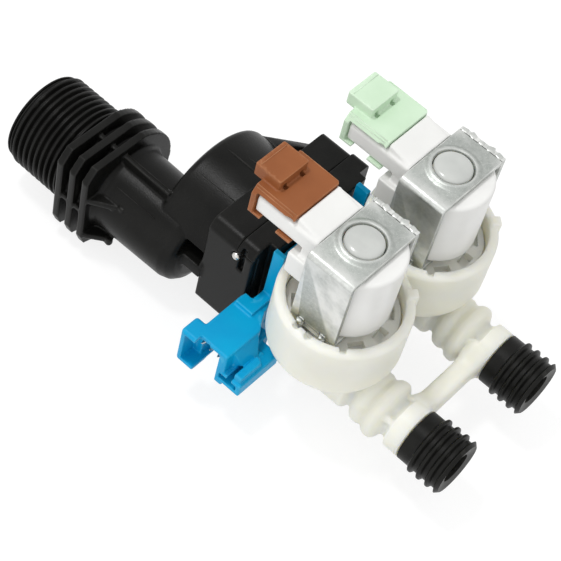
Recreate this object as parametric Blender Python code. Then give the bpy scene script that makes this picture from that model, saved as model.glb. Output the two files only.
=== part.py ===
"""Washing machine inlet valve with two solenoid valves and a flow turbine.

Frame: the origin is on the axis of the inlet thread, at the front face of the first flange rib.
+X is the way the water flows, +Z points up along the two solenoids, +Y runs to the rear valve.
Sizes are in millimetres here and the mesh is made in metres.
"""

import math

import bmesh
import bpy
from mathutils import Matrix, Vector

# Clearances between pieces
FIT = 0.2
SLIDE = 0.25
RUN = 0.7
WALL = 2.3

# Inlet thread and flange
THREAD_OD = 26.44
THREAD_LEN = 18.8
THREAD_PITCH = 1.814
THREAD_DEPTH = 1.16
BORE_R = 9.0
RIB_T = 2.0
RIB_PITCH = 4.2
FLANGE_SIDE = 14.5
FLANGE_TOP = 15.5
FLANGE_R = 16.3
CORE_R = 12.5

# Tube and turbine chamber
TUBE_R = 11.7
TUBE_END = 36.8
DOME_R = 20.5
DOME_Y = 13.2
DOME_START = 25.0
DOME_END = 36.6
BLOCK_X = 41.6
SPLIT_X = 50.6
BLOCK_END = 57.9
BLOCK_Y0 = -6.3
BLOCK_Y1 = 34.7
BLOCK_Z0 = -8.0
BLOCK_Z1 = 23.3
SIDE_END = 55.5
LIP_T = 2.0

# Turbine
ROTOR_R = 12.2
ROTOR_LEN = 7.4
ROTOR_Y = 13.9
ROTOR_Z = 7.6
HUB_R = 4.2
AXLE_R = 0.8
BLADES = 6

# Joint pins and inlet screen
PIN_R = 1.1
PIN_Z = 18.3
SCREEN_R = 10.6

# Port from the chamber to the valves
PLATE_START = 58.2
PLATE_END = 61.9
PORT_Z = 12.8
PORT_R = 5.4
PORT_BORE = 3.9
SEAL_R = 0.9

# Valve bodies
VALVE_Y = -0.3
PITCH = 31.6
CUP_R = 16.45
VALVE_X = PLATE_END + CUP_R - 0.2
CUP_TOP = 26.0
CUP_BASE = 6.2
SHELF_Z = 16.4
SEAT_R = 4.2
SEAT_Z = 15.0

# Outlets
OUT_R = 6.9
OUT_BORE = 3.9
WAVE_R = 8.1
SLEEVE_LEN = 12.7
SLEEVE_X = VALVE_X + 28.65
SLEEVE_END = SLEEVE_X + SLEEVE_LEN
SPIGOT_R = 5.3
LINK_X = SLEEVE_X - 3.6
LINK_R = 2.4

# Solenoids
GUIDE_R = 4.9
GUIDE_WALL = 1.0
YOKE_Z = 23.3
YOKE_H = 23.6
YOKE_W = 13.0
YOKE_D = 2 * (CUP_R - 4.75)
YOKE_T = 1.3
COIL_R = YOKE_D / 2 - 0.3
STROKE = 2.2
NECK_W = 16.2
NECK_H = 5.2

# Caps
CAP_START = VALVE_X - 25.85
CAP_LEN = 11.2
CAP_W = 17.6
CAP_TOP = 49.0

# Sensor housing
SOCKET_TOP = 8.4
SOCKET_DEPTH = 12.0
SOCKET_BACK = -14.5
PIN_PITCH = 2.5

REAR_Y = VALVE_Y + PITCH
ROOT = bpy.context.scene.collection

for old in list(bpy.data.objects):
    bpy.data.objects.remove(old, do_unlink=True)


# Shape makers
def obj_of(bm, name="shape"):
    bmesh.ops.recalc_face_normals(bm, faces=bm.faces)
    mesh = bpy.data.meshes.new(name)
    bm.to_mesh(mesh)
    bm.free()
    obj = bpy.data.objects.new(name, mesh)
    ROOT.objects.link(obj)
    return obj


def placed(axis, a, u, v):
    """A point with a along the axis and u, v across it, in X, Y, Z order."""
    if axis == "X":
        return Vector((a, u, v))
    if axis == "Y":
        return Vector((v, a, u))
    return Vector((u, v, a))


def box(x, y, z):
    """A box from three pairs of limits."""
    bm = bmesh.new()
    bmesh.ops.create_cube(bm, size=1.0)
    for vert in bm.verts:
        vert.co = Vector(
            [(lo + hi) / 2 + c * (hi - lo) for c, (lo, hi) in zip(vert.co, (x, y, z))]
        )
    return obj_of(bm)


def prism(outline, axis, start, end):
    """A flat outline pushed along an axis."""
    bm = bmesh.new()
    ends = [[bm.verts.new(placed(axis, a, u, v)) for u, v in outline] for a in (start, end)]
    bm.faces.new(ends[0])
    bm.faces.new(list(reversed(ends[1])))
    count = len(outline)
    for i in range(count):
        j = (i + 1) % count
        bm.faces.new((ends[0][j], ends[0][i], ends[1][i], ends[1][j]))
    return obj_of(bm)


def turned(profile, axis, centre, steps=48):
    """A closed profile of (along, radius) points turned about an axis."""
    bm = bmesh.new()
    rings = []
    for along, radius in profile:
        points = [
            placed(
                axis,
                along,
                centre[0] + radius * math.cos(2 * math.pi * k / steps),
                centre[1] + radius * math.sin(2 * math.pi * k / steps),
            )
            for k in range(steps)
        ]
        rings.append([bm.verts.new(point) for point in points] if radius > 0 else None)
    for i, first in enumerate(rings):
        second = rings[(i + 1) % len(rings)]
        if first is None and second is None:
            continue
        if first is None or second is None:
            bm.faces.new(first or second)
            continue
        for k in range(steps):
            m = (k + 1) % steps
            bm.faces.new((first[k], first[m], second[m], second[k]))
    return obj_of(bm)


def rod(axis, start, end, centre, radius, steps=32):
    return turned([(start, 0), (start, radius), (end, radius), (end, 0)], axis, centre, steps)


def ring(axis, start, end, centre, outer, inner, steps=32):
    profile = [(start, inner), (start, outer), (end, outer), (end, inner)]
    return turned(profile, axis, centre, steps)


def hull(points):
    bm = bmesh.new()
    for point in points:
        bm.verts.new(point)
    bmesh.ops.convex_hull(bm, input=bm.verts)
    loose = [v for v in bm.verts if not v.link_faces]
    bmesh.ops.delete(bm, geom=loose, context="VERTS")
    return obj_of(bm)


def rounded(corners, steps=5):
    """An outline from (u, v, radius) corners, each corner rounded."""
    points = []
    count = len(corners)
    for i, (u, v, radius) in enumerate(corners):
        here = Vector((u, v))
        if radius <= 0:
            points.append((u, v))
            continue
        before = Vector(corners[i - 1][:2]) - here
        after = Vector(corners[(i + 1) % count][:2]) - here
        half = before.angle(after) / 2
        reach = radius / math.tan(half)
        p, q = here + before.normalized() * reach, here + after.normalized() * reach
        middle = here + (before.normalized() + after.normalized()).normalized() * (
            radius / math.sin(half)
        )
        a, b = p - middle, q - middle
        turn = a.angle_signed(b)
        for k in range(steps + 1):
            points.append(tuple(middle + Matrix.Rotation(-turn * k / steps, 2) @ a))
    return points


def merged(target, tools, operation):
    """One Boolean of a list of shapes with the target."""
    for tool in tools:
        modifier = target.modifiers.new(operation.lower(), "BOOLEAN")
        modifier.operation = operation
        modifier.solver = "EXACT"
        modifier.object = tool
    graph = bpy.context.evaluated_depsgraph_get()
    mesh = bpy.data.meshes.new_from_object(target.evaluated_get(graph))
    target.modifiers.clear()
    target.data = mesh
    for tool in tools:
        bpy.data.objects.remove(tool, do_unlink=True)
    return target


def join(target, *tools):
    return merged(target, tools, "UNION")


def cut(target, *tools):
    return merged(target, tools, "DIFFERENCE")


def keep(target, *tools):
    return merged(target, tools, "INTERSECT")


def finish(obj, name, colour, rough=0.5, metal=0.0, origin=(0, 0, 0), angle=35):
    """Names a piece, gives it a material and puts its origin on a point."""
    obj.name = name
    obj.data.name = name
    shift = Vector(origin) / 1000
    obj.data.transform(Matrix.Translation(-shift) @ Matrix.Scale(0.001, 4))
    obj.location = shift
    material = bpy.data.materials.new(name)
    material.use_nodes = True
    shader = material.node_tree.nodes["Principled BSDF"]
    shader.inputs["Base Color"].default_value = (*colour, 1)
    shader.inputs["Roughness"].default_value = rough
    shader.inputs["Metallic"].default_value = metal
    obj.data.materials.clear()
    obj.data.materials.append(material)
    obj.data.shade_smooth()
    obj.data.set_sharp_from_angle(angle=math.radians(angle))
    return obj


BLACK = (0.02, 0.02, 0.022)
BLUE = (0.0, 0.35, 0.75)
NATURAL = (0.75, 0.74, 0.66)
WHITE = (0.88, 0.88, 0.86)
STEEL = (0.62, 0.63, 0.65)


# Inlet body
def flange_outline():
    """The flat-sided outline of the panel flange, as (y, z)."""
    side, top, radius = -FLANGE_SIDE, FLANGE_TOP, FLANGE_R
    low = math.radians(-118)
    high = math.asin(min(top / radius, 0.995))
    points = [(side, -9.0), (side, top - 3.7), (side + 3.0, top)]
    for k in range(12):
        angle = high + (low - high) * k / 11
        points.append((radius * math.cos(angle), radius * math.sin(angle)))
    points.append((side + 1.2, -12.3))
    return points


def thread_profile():
    """The thread as closed rings, with a plain band of crest height ahead of the flange."""
    crest = THREAD_OD / 2
    root = crest - THREAD_DEPTH
    points = [(-THREAD_LEN, 0), (-THREAD_LEN, root), (-THREAD_LEN + 0.5, root + 0.2)]
    start = -THREAD_LEN + 0.75
    while start + THREAD_PITCH < -1.4:
        height = crest - 0.45 if len(points) == 3 else crest
        points += [
            (start, root + 0.05),
            (start + 0.32 * THREAD_PITCH, height),
            (start + 0.56 * THREAD_PITCH, height),
            (start + 0.88 * THREAD_PITCH, root),
        ]
        start += THREAD_PITCH
    return points + [(-1.2, root), (-0.8, crest), (0.3, crest), (1.0, CORE_R)]


flange_end = 2 * RIB_PITCH + RIB_T
body = turned(
    [
        *thread_profile(),
        (flange_end, CORE_R),
        (flange_end + 1.0, TUBE_R + 0.2),
        (TUBE_END - 4.5, TUBE_R - 0.4),
        (TUBE_END - 2.2, TUBE_R - 1.1),
        (TUBE_END - 0.7, TUBE_R - 2.6),
        (TUBE_END, TUBE_R - 4.6),
        (TUBE_END, 0),
    ],
    "X",
    (0, 0),
    36,
)
ribs = [
    prism(flange_outline(), "X", k * RIB_PITCH, k * RIB_PITCH + RIB_T) for k in range(3)
]
ribs.append(box((0.5, DOME_START + 1), (-2.3, -0.6), (0, FLANGE_TOP - 1.3)))
ribs.append(box((0.5, flange_end - 0.5), (-FLANGE_SIDE + 0.3, 0), (-0.7, 0.7)))
for z, reach in ((5.6, 11.5), (-8.4, 9.0)):
    corners = (
        (flange_end - 0.5, 0),
        (flange_end - 0.5, -FLANGE_SIDE + 0.2),
        (flange_end + 2.5, -FLANGE_SIDE + 0.5),
        (flange_end + reach, -TUBE_R + 1.5),
        (flange_end + reach, 0),
    )
    ribs.append(hull([(x, y, z + dz) for dz in (-0.8, 0.8) for x, y in corners]))
join(body, *ribs)

dome = turned(
    [
        (DOME_START, 0),
        (DOME_START, DOME_R - 1.6),
        (DOME_START + 0.5, DOME_R - 0.5),
        (DOME_START + 1.6, DOME_R),
        (BLOCK_X + 0.5, DOME_R),
        (BLOCK_X + 0.5, 0),
    ],
    "X",
    (DOME_Y, 0),
    48,
)
# Flat underneath, and open below the ledge on its near side
cut(
    dome,
    box((DOME_START - 1, BLOCK_X + 2), (-30, 60), (-30, BLOCK_Z0 + 0.1)),
    box((DOME_END - 2, BLOCK_X + 2), (-30, 5.5), (-29, 1.0)),
)
block_outline = rounded(
    [
        (BLOCK_Y0, BLOCK_Z0, 1.5),
        (BLOCK_Y1, BLOCK_Z0, 3.0),
        (BLOCK_Y1, BLOCK_Z1, 1.8),
        (BLOCK_Y0, BLOCK_Z1, 5.0),
    ]
)
# The block, cut back at the joint but for a lip that laps over the cover's near side
lip_low, lip_high = BLOCK_Z0 + 0.8, PIN_Z + 2.0
rear_block = cut(
    prism(block_outline, "X", BLOCK_X, SIDE_END),
    box((SPLIT_X, SIDE_END + 1), (BLOCK_Y0 + LIP_T, BLOCK_Y1 + 1), (BLOCK_Z0 - 1, BLOCK_Z1 + 1)),
    box((SPLIT_X, SIDE_END + 2), (BLOCK_Y0 - 1, BLOCK_Y0 + LIP_T + 1), (lip_high, BLOCK_Z1 + 2)),
    box((SPLIT_X, SIDE_END + 2), (BLOCK_Y0 - 1, BLOCK_Y0 + LIP_T + 1), (BLOCK_Z0 - 2, lip_low)),
)
far_web = hull(
    [
        (DOME_START + 1.6, DOME_Y + 18.2, DOME_R - 10.6),
        (DOME_START + 1.6, DOME_Y + 19.3, DOME_R - 12.0),
        (DOME_START + 1.6, DOME_Y + 16.0, DOME_R - 12.6),
        (BLOCK_X + 0.5, BLOCK_Y1 - 7.2, BLOCK_Z1 - 0.1),
        (BLOCK_X + 0.5, BLOCK_Y1 - 5.3, BLOCK_Z1 - 0.4),
        (BLOCK_X + 0.5, BLOCK_Y1 - 7.2, BLOCK_Z1 - 9.0),
        (BLOCK_X + 0.5, BLOCK_Y1 - 5.3, BLOCK_Z1 - 11.0),
    ]
)
join(body, dome, rear_block, far_web)
cavity_r = ROTOR_R + RUN
slot_outline = [
    (SIDE_END - 4.1, BLOCK_Y0 - 1),
    (SIDE_END - 2.3, BLOCK_Y0 - 1),
    (SIDE_END - 2.3, BLOCK_Y0 + LIP_T - 0.5),
    (SIDE_END - 3.6, BLOCK_Y0 + LIP_T - 0.5),
]
cut(
    body,
    box((DOME_END - 1.2, BLOCK_X - 0.3), (BLOCK_Y0 - 4, 0.2), (4.3, 8.6)),
    rod("X", -THREAD_LEN - 1, DOME_START + WALL + 0.5, (0, 0), BORE_R, 28),
    keep(
        rod("X", DOME_START + WALL, DOME_END - WALL, (DOME_Y, 0), DOME_R - WALL, 32),
        box((DOME_START, DOME_END), (-30, 60), (BLOCK_Z0 + WALL, 30)),
    ),
    rod("X", DOME_END - WALL - 0.5, BLOCK_X + WALL - 0.5, (ROTOR_Y + 0.6, ROTOR_Z + 1.4), 9.4, 28),
    rod("X", BLOCK_X + WALL - 0.7, SPLIT_X + 1, (ROTOR_Y, ROTOR_Z), cavity_r, 32),
    rod("Y", BLOCK_Y0 - 1, 2.0, (PIN_Z, SPLIT_X + 0.05), PIN_R + 0.15, 14),
    rod("Y", 25.8, BLOCK_Y1 + 1, (PIN_Z, SPLIT_X + 0.05), PIN_R + 0.15, 14),
    prism(slot_outline, "Z", 14.2, BLOCK_Z1),
)
# A ring groove for the cover seal, and a bored step for the screen
cut(
    body,
    ring("X", SPLIT_X - 1.5, SPLIT_X + 1, (ROTOR_Y, ROTOR_Z), cavity_r + 2.3, cavity_r + 0.7, 32),
    rod("X", -THREAD_LEN - 1, -THREAD_LEN + 2.2, (0, 0), SCREEN_R + FIT, 28),
)
finish(body, "inlet_body", BLACK, 0.45)

# Turbine cover with the port nozzle
cover_x = SPLIT_X + FIT
cover_outline = rounded(
    [
        (BLOCK_Y0, BLOCK_Z0, 1.5),
        (BLOCK_Y1 + 0.9, BLOCK_Z0, 3.0),
        (BLOCK_Y1 + 0.9, BLOCK_Z1, 1.8),
        (BLOCK_Y0, BLOCK_Z1, 5.0),
    ]
)
cover = prism(cover_outline, "X", cover_x, BLOCK_END)
port = (ROTOR_Y, PORT_Z)
port_end = PLATE_END + 0.3 + 5.0
join(cover, rod("X", BLOCK_END - 0.5, port_end, port, PORT_R, 28))
cut(
    cover,
    rod("X", cover_x - 1, BLOCK_END - WALL, (ROTOR_Y, ROTOR_Z), cavity_r, 32),
    rod("X", BLOCK_END - WALL - 1, port_end + 1, port, PORT_BORE, 24),
    rod("X", BLOCK_END - WALL - 0.1, BLOCK_END - 1.0, (ROTOR_Y, ROTOR_Z), AXLE_R + 0.1, 14),
    box(
        (cover_x - 1, SIDE_END + FIT),
        (BLOCK_Y0 - 1, BLOCK_Y0 + LIP_T + FIT),
        (lip_low - FIT, lip_high + FIT),
    ),
    prism(slot_outline, "Z", lip_high - 1, BLOCK_Z1 - 1.3),
    box((SIDE_END + 0.1, BLOCK_END + 1), (BLOCK_Y0 - 2, BLOCK_Y0 + 5.6), (BLOCK_Z0 - 1, BLOCK_Z1 + 1)),
    box((SIDE_END + 0.2, BLOCK_END + 1), (BLOCK_Y1 - 3.2, BLOCK_Y1 + 3), (BLOCK_Z0 - 1, BLOCK_Z1 + 1)),
    rod("Y", BLOCK_Y0 - 1, 2.0, (PIN_Z, SPLIT_X + 0.05), PIN_R + 0.15, 14),
    rod("Y", 25.8, BLOCK_Y1 + 3, (PIN_Z, SPLIT_X + 0.05), PIN_R + 0.15, 14),
)
finish(cover, "turbine_cover", BLACK, 0.45)

# Steel pins across the joint
for name, y0, y1 in (
    ("joint_pin_front", BLOCK_Y0 - 0.7, 1.6),
    ("joint_pin_rear", 26.2, BLOCK_Y1 + 1.2),
):
    pin = turned(
        [
            (y0, 0),
            (y0, PIN_R - 0.4),
            (y0 + 0.4, PIN_R),
            (y1 - 0.4, PIN_R),
            (y1, PIN_R - 0.4),
            (y1, 0),
        ],
        "Y",
        (PIN_Z, SPLIT_X + 0.05),
        14,
    )
    finish(pin, name, STEEL, 0.3, 1.0)


# Rubber rings
def o_ring(name, axis, along, centre, radius, thick, colour=(0.03, 0.03, 0.03)):
    profile = [
        (along + thick * math.cos(k * math.pi / 3), radius + thick * math.sin(k * math.pi / 3))
        for k in range(6)
    ]
    finish(turned(profile, axis, centre, 26), name, colour, 0.7)


o_ring("cover_seal", "X", SPLIT_X - 0.62, (ROTOR_Y, ROTOR_Z), cavity_r + 1.5, 0.72)

# Inlet screen, a moulded basket
screen_x = -THREAD_LEN + 0.5
screen = turned(
    [
        (screen_x, SCREEN_R - 1.6),
        (screen_x, SCREEN_R),
        (screen_x + 1.4, SCREEN_R),
        (screen_x + 1.4, BORE_R - 0.6),
        (screen_x + 12.0, 3.6),
        (screen_x + 12.0, 2.6),
        (screen_x + 1.8, BORE_R - 1.7),
    ],
    "X",
    (0, 0),
    28,
)
windows = []
for k in range(6):
    window = box((screen_x + 3.0, screen_x + 10.6), (1.5, 12), (-1.5, 1.5))
    window.data.transform(Matrix.Rotation(k * math.pi / 3, 4, "X"))
    windows.append(window)
cut(screen, *windows)
join(screen, rod("X", screen_x + 11.3, screen_x + 12.3, (0, 0), 3.15, 18))
finish(screen, "inlet_screen", (0.85, 0.85, 0.82), 0.4)

# Flow regulator, a rubber washer in a slotted holder
holder_x = -1.5
holder = ring("X", holder_x, holder_x + 6.0, (0, 0), BORE_R - FIT, BORE_R - 1.7, 28)
join(holder, rod("X", holder_x + 4.2, holder_x + 5.7, (0, 0), BORE_R - 1.0, 26))
slots = []
for k in range(8):
    slot = box((holder_x + 3.5, holder_x + 7), (3.0, 6.4), (-0.7, 0.7))
    slot.data.transform(Matrix.Rotation(k * math.pi / 4, 4, "X"))
    slots.append(slot)
cut(holder, *slots)
finish(holder, "regulator_holder", (0.85, 0.85, 0.82), 0.4)
washer = turned(
    [
        (holder_x + 1.0, 3.0),
        (holder_x + 0.8, 4.0),
        (holder_x + 0.8, BORE_R - 2.2),
        (holder_x + 1.3, BORE_R - 1.7 - FIT),
        (holder_x + 3.6, BORE_R - 1.7 - FIT),
        (holder_x + 4.0, BORE_R - 2.2),
        (holder_x + 4.0, 3.0),
    ],
    "X",
    (0, 0),
    26,
)
finish(washer, "regulator_washer", (0.35, 0.12, 0.08), 0.7)

# Guide vanes ahead of the rotor
vane_x = SPLIT_X - 6.7
vanes = ring("X", vane_x, vane_x + 1.3, (ROTOR_Y, ROTOR_Z), cavity_r - FIT, cavity_r - 1.7, 28)
spokes = [rod("X", vane_x, vane_x + 1.3, (ROTOR_Y, ROTOR_Z), 2.6, 18)]
for k in range(6):
    angle = k * math.pi / 3
    c, s = math.cos(angle), math.sin(angle)
    spokes.append(
        hull(
            [
                (
                    vane_x + along,
                    ROTOR_Y + reach * c - (side + twist) * s,
                    ROTOR_Z + reach * s + (side + twist) * c,
                )
                for reach in (1.5, cavity_r - 1.0)
                for side in (-0.4, 0.4)
                for along, twist in ((0, -0.6), (1.3, 0.6))
            ]
        )
    )
join(vanes, *spokes)
cut(vanes, rod("X", vane_x - 1, vane_x + 3, (ROTOR_Y, ROTOR_Z), AXLE_R + 0.1, 14))
finish(vanes, "guide_vanes", (0.85, 0.85, 0.82), 0.4)

# Rotor on its axle
rotor_x = vane_x + 1.3 + 0.5
rotor = turned(
    [
        (rotor_x, 0),
        (rotor_x, HUB_R - 1.4),
        (rotor_x + 1.4, HUB_R),
        (rotor_x + ROTOR_LEN, HUB_R),
        (rotor_x + ROTOR_LEN, 0),
    ],
    "X",
    (ROTOR_Y, ROTOR_Z),
    20,
)
blades = []
for k in range(BLADES):
    rows = 2
    for i in range(rows):
        quad = []
        for along, turn in (
            (ROTOR_LEN * i / rows, i),
            (ROTOR_LEN * (i + 1) / rows, i + 1),
        ):
            angle = 2 * math.pi * k / BLADES + math.radians(22) * turn
            c, s = math.cos(angle), math.sin(angle)
            for reach in (HUB_R - 1.6, ROTOR_R):
                for side in (-0.5, 0.5):
                    quad.append(
                        (
                            rotor_x + min(max(along, 0.3), ROTOR_LEN - 0.3),
                            ROTOR_Y + reach * c - side * s,
                            ROTOR_Z + reach * s + side * c,
                        )
                    )
        blades.append(hull(quad))
join(rotor, *blades)
keep(rotor, rod("X", rotor_x - 1, rotor_x + ROTOR_LEN + 1, (ROTOR_Y, ROTOR_Z), ROTOR_R, 36))
cut(
    rotor,
    rod("X", rotor_x - 1, rotor_x + ROTOR_LEN + 1, (ROTOR_Y, ROTOR_Z), AXLE_R + 0.15, 16),
    ring(
        "X", rotor_x + ROTOR_LEN - 2.4, rotor_x + ROTOR_LEN + 1, (ROTOR_Y, ROTOR_Z),
        HUB_R - 0.7, AXLE_R + 0.9, 24,
    ),
)
axis_point = (rotor_x + ROTOR_LEN / 2, ROTOR_Y, ROTOR_Z)
finish(rotor, "turbine_rotor", (0.85, 0.85, 0.82), 0.35, origin=axis_point)
magnet = ring(
    "X", rotor_x + ROTOR_LEN - 2.3, rotor_x + ROTOR_LEN - 0.2, (ROTOR_Y, ROTOR_Z),
    HUB_R - 0.8, AXLE_R + 1.0, 24,
)
finish(magnet, "rotor_magnet", (0.12, 0.12, 0.13), 0.6, origin=axis_point)
axle = rod("X", vane_x - 0.8, BLOCK_END - 1.2, (ROTOR_Y, ROTOR_Z), AXLE_R, 14)
finish(axle, "turbine_axle", STEEL, 0.25, 1.0)

# Valve body, two cups on one gallery
cup_wall_r = CUP_R - 2.5
chamber_r = CUP_R - 4.9
pieces = []
for y in (VALVE_Y, REAR_Y):
    cup = turned(
        [
            (CUP_BASE, 0),
            (CUP_BASE, CUP_R - 5.6),
            (CUP_BASE + 0.9, CUP_R - 3.0),
            (CUP_BASE + 2.6, CUP_R - 1.2),
            (CUP_BASE + 5.6, CUP_R),
            (CUP_TOP - 1.0, CUP_R),
            (CUP_TOP, CUP_R - 1.1),
            (CUP_TOP, 0),
        ],
        "Z",
        (VALVE_X, y),
        36,
    )
    pieces.append(cup)
    pieces.append(rod("Z", 0, CUP_BASE + 1, (VALVE_X, y), OUT_R + 1.0, 26))
    pieces.append(
        turned(
            [
                (VALVE_X - 8.2, 0),
                (VALVE_X - 8.2, OUT_R - 1.2),
                (VALVE_X - 7.2, OUT_R),
                (SLEEVE_X - 18.4, OUT_R),
                (SLEEVE_X - 17.6, OUT_R - 1.75),
                (SLEEVE_X - 16.2, OUT_R - 1.75),
                (SLEEVE_X - 15.3, WAVE_R - 0.9),
                (SLEEVE_X - 13.0, WAVE_R - 0.75),
                (SLEEVE_X - 11.9, WAVE_R - 1.3),
                (SLEEVE_X - 10.6, WAVE_R - 0.2),
                (SLEEVE_X - 8.2, WAVE_R),
                (SLEEVE_X - 6.8, OUT_R - 1.7),
                (SLEEVE_X - 5.5, OUT_R - 1.7),
                (SLEEVE_X - 4.5, OUT_R),
                (SLEEVE_X - 0.25, OUT_R),
                (SLEEVE_X - 0.25, SPIGOT_R),
                (SLEEVE_END - 2.1, SPIGOT_R),
                (SLEEVE_END - 2.1, 0),
            ],
            "X",
            (y, 0),
            22,
        )
    )
pieces.append(rod("Y", VALVE_Y, REAR_Y, (0, LINK_X), LINK_R, 20))
gallery_x = PLATE_END + 0.3 - 2.2
gallery_top = CUP_TOP - 1.7
pieces.append(box((gallery_x, VALVE_X - 10.0), (VALVE_Y - 1.1, REAR_Y - 5.2), (5.2, gallery_top)))
pieces.append(rod("Y", VALVE_Y + 8, REAR_Y - 8, (PORT_Z, VALVE_X - 9.0), 5.1, 20))
valve_body = pieces.pop(0)
join(valve_body, *pieces)
hollows = []
for y in (VALVE_Y, REAR_Y):
    hollows.append(rod("Z", SHELF_Z, CUP_TOP + 2, (VALVE_X, y), cup_wall_r, 32))
    hollows.append(ring("Z", CUP_BASE + 2.6, SHELF_Z + 1, (VALVE_X, y), chamber_r, 6.1, 24))
    hollows.append(rod("Z", SEAT_Z, SHELF_Z + 1, (VALVE_X, y), SEAT_R + 2.5, 22))
    hollows.append(rod("Z", -2.0, SEAT_Z + 1, (VALVE_X, y), SEAT_R, 18))
    hollows.append(rod("X", VALVE_X - 3.6, SLEEVE_END + 1, (y, 0), OUT_BORE, 18))
hollows.append(rod("Y", VALVE_Y + 3, REAR_Y - 3, (PORT_Z, VALVE_X - 9.0), 3.1, 16))
hollows.append(rod("X", gallery_x - 1, VALVE_X - 9.5, port, PORT_R - 0.8, 24))
hollows.append(rod("X", gallery_x - 1, port_end + 0.3, port, PORT_R + FIT, 26))
hollows.append(rod("X", gallery_x - 1, gallery_x + 2.6, port, PORT_R + FIT + 2 * SEAL_R, 30))
cut(valve_body, *hollows)
finish(valve_body, "valve_body", NATURAL, 0.5)
o_ring("port_seal", "X", gallery_x + 1.4, port, PORT_R + 0.15 + SEAL_R, SEAL_R - 0.03)

# Rubber tips on the outlets
for name, y in (("outlet_tip_front", VALVE_Y), ("outlet_tip_rear", REAR_Y)):
    profile = [
        (SLEEVE_X, SPIGOT_R + FIT),
        (SLEEVE_X, OUT_R),
        (SLEEVE_X + 3.0, OUT_R),
    ]
    for k in range(3):
        start = SLEEVE_X + 3.3 + 2.65 * k
        profile += [
            (start, OUT_R + 1.0),
            (start + 0.9, OUT_R + 1.0),
            (start + 1.3, OUT_R),
            (start + 2.35, OUT_R),
        ]
    profile.pop()
    profile += [
        (SLEEVE_END - 1.2, OUT_R - 0.1),
        (SLEEVE_END, OUT_R - 1.2),
        (SLEEVE_END, OUT_R - 2.2),
        (SLEEVE_END - 0.6, SPIGOT_R - 0.8),
        (SLEEVE_END - 1.9, SPIGOT_R - 0.8),
        (SLEEVE_END - 1.9, SPIGOT_R + FIT),
    ]
    finish(turned(profile, "X", (y, 0), 22), name, (0.025, 0.025, 0.025), 0.6)

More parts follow.
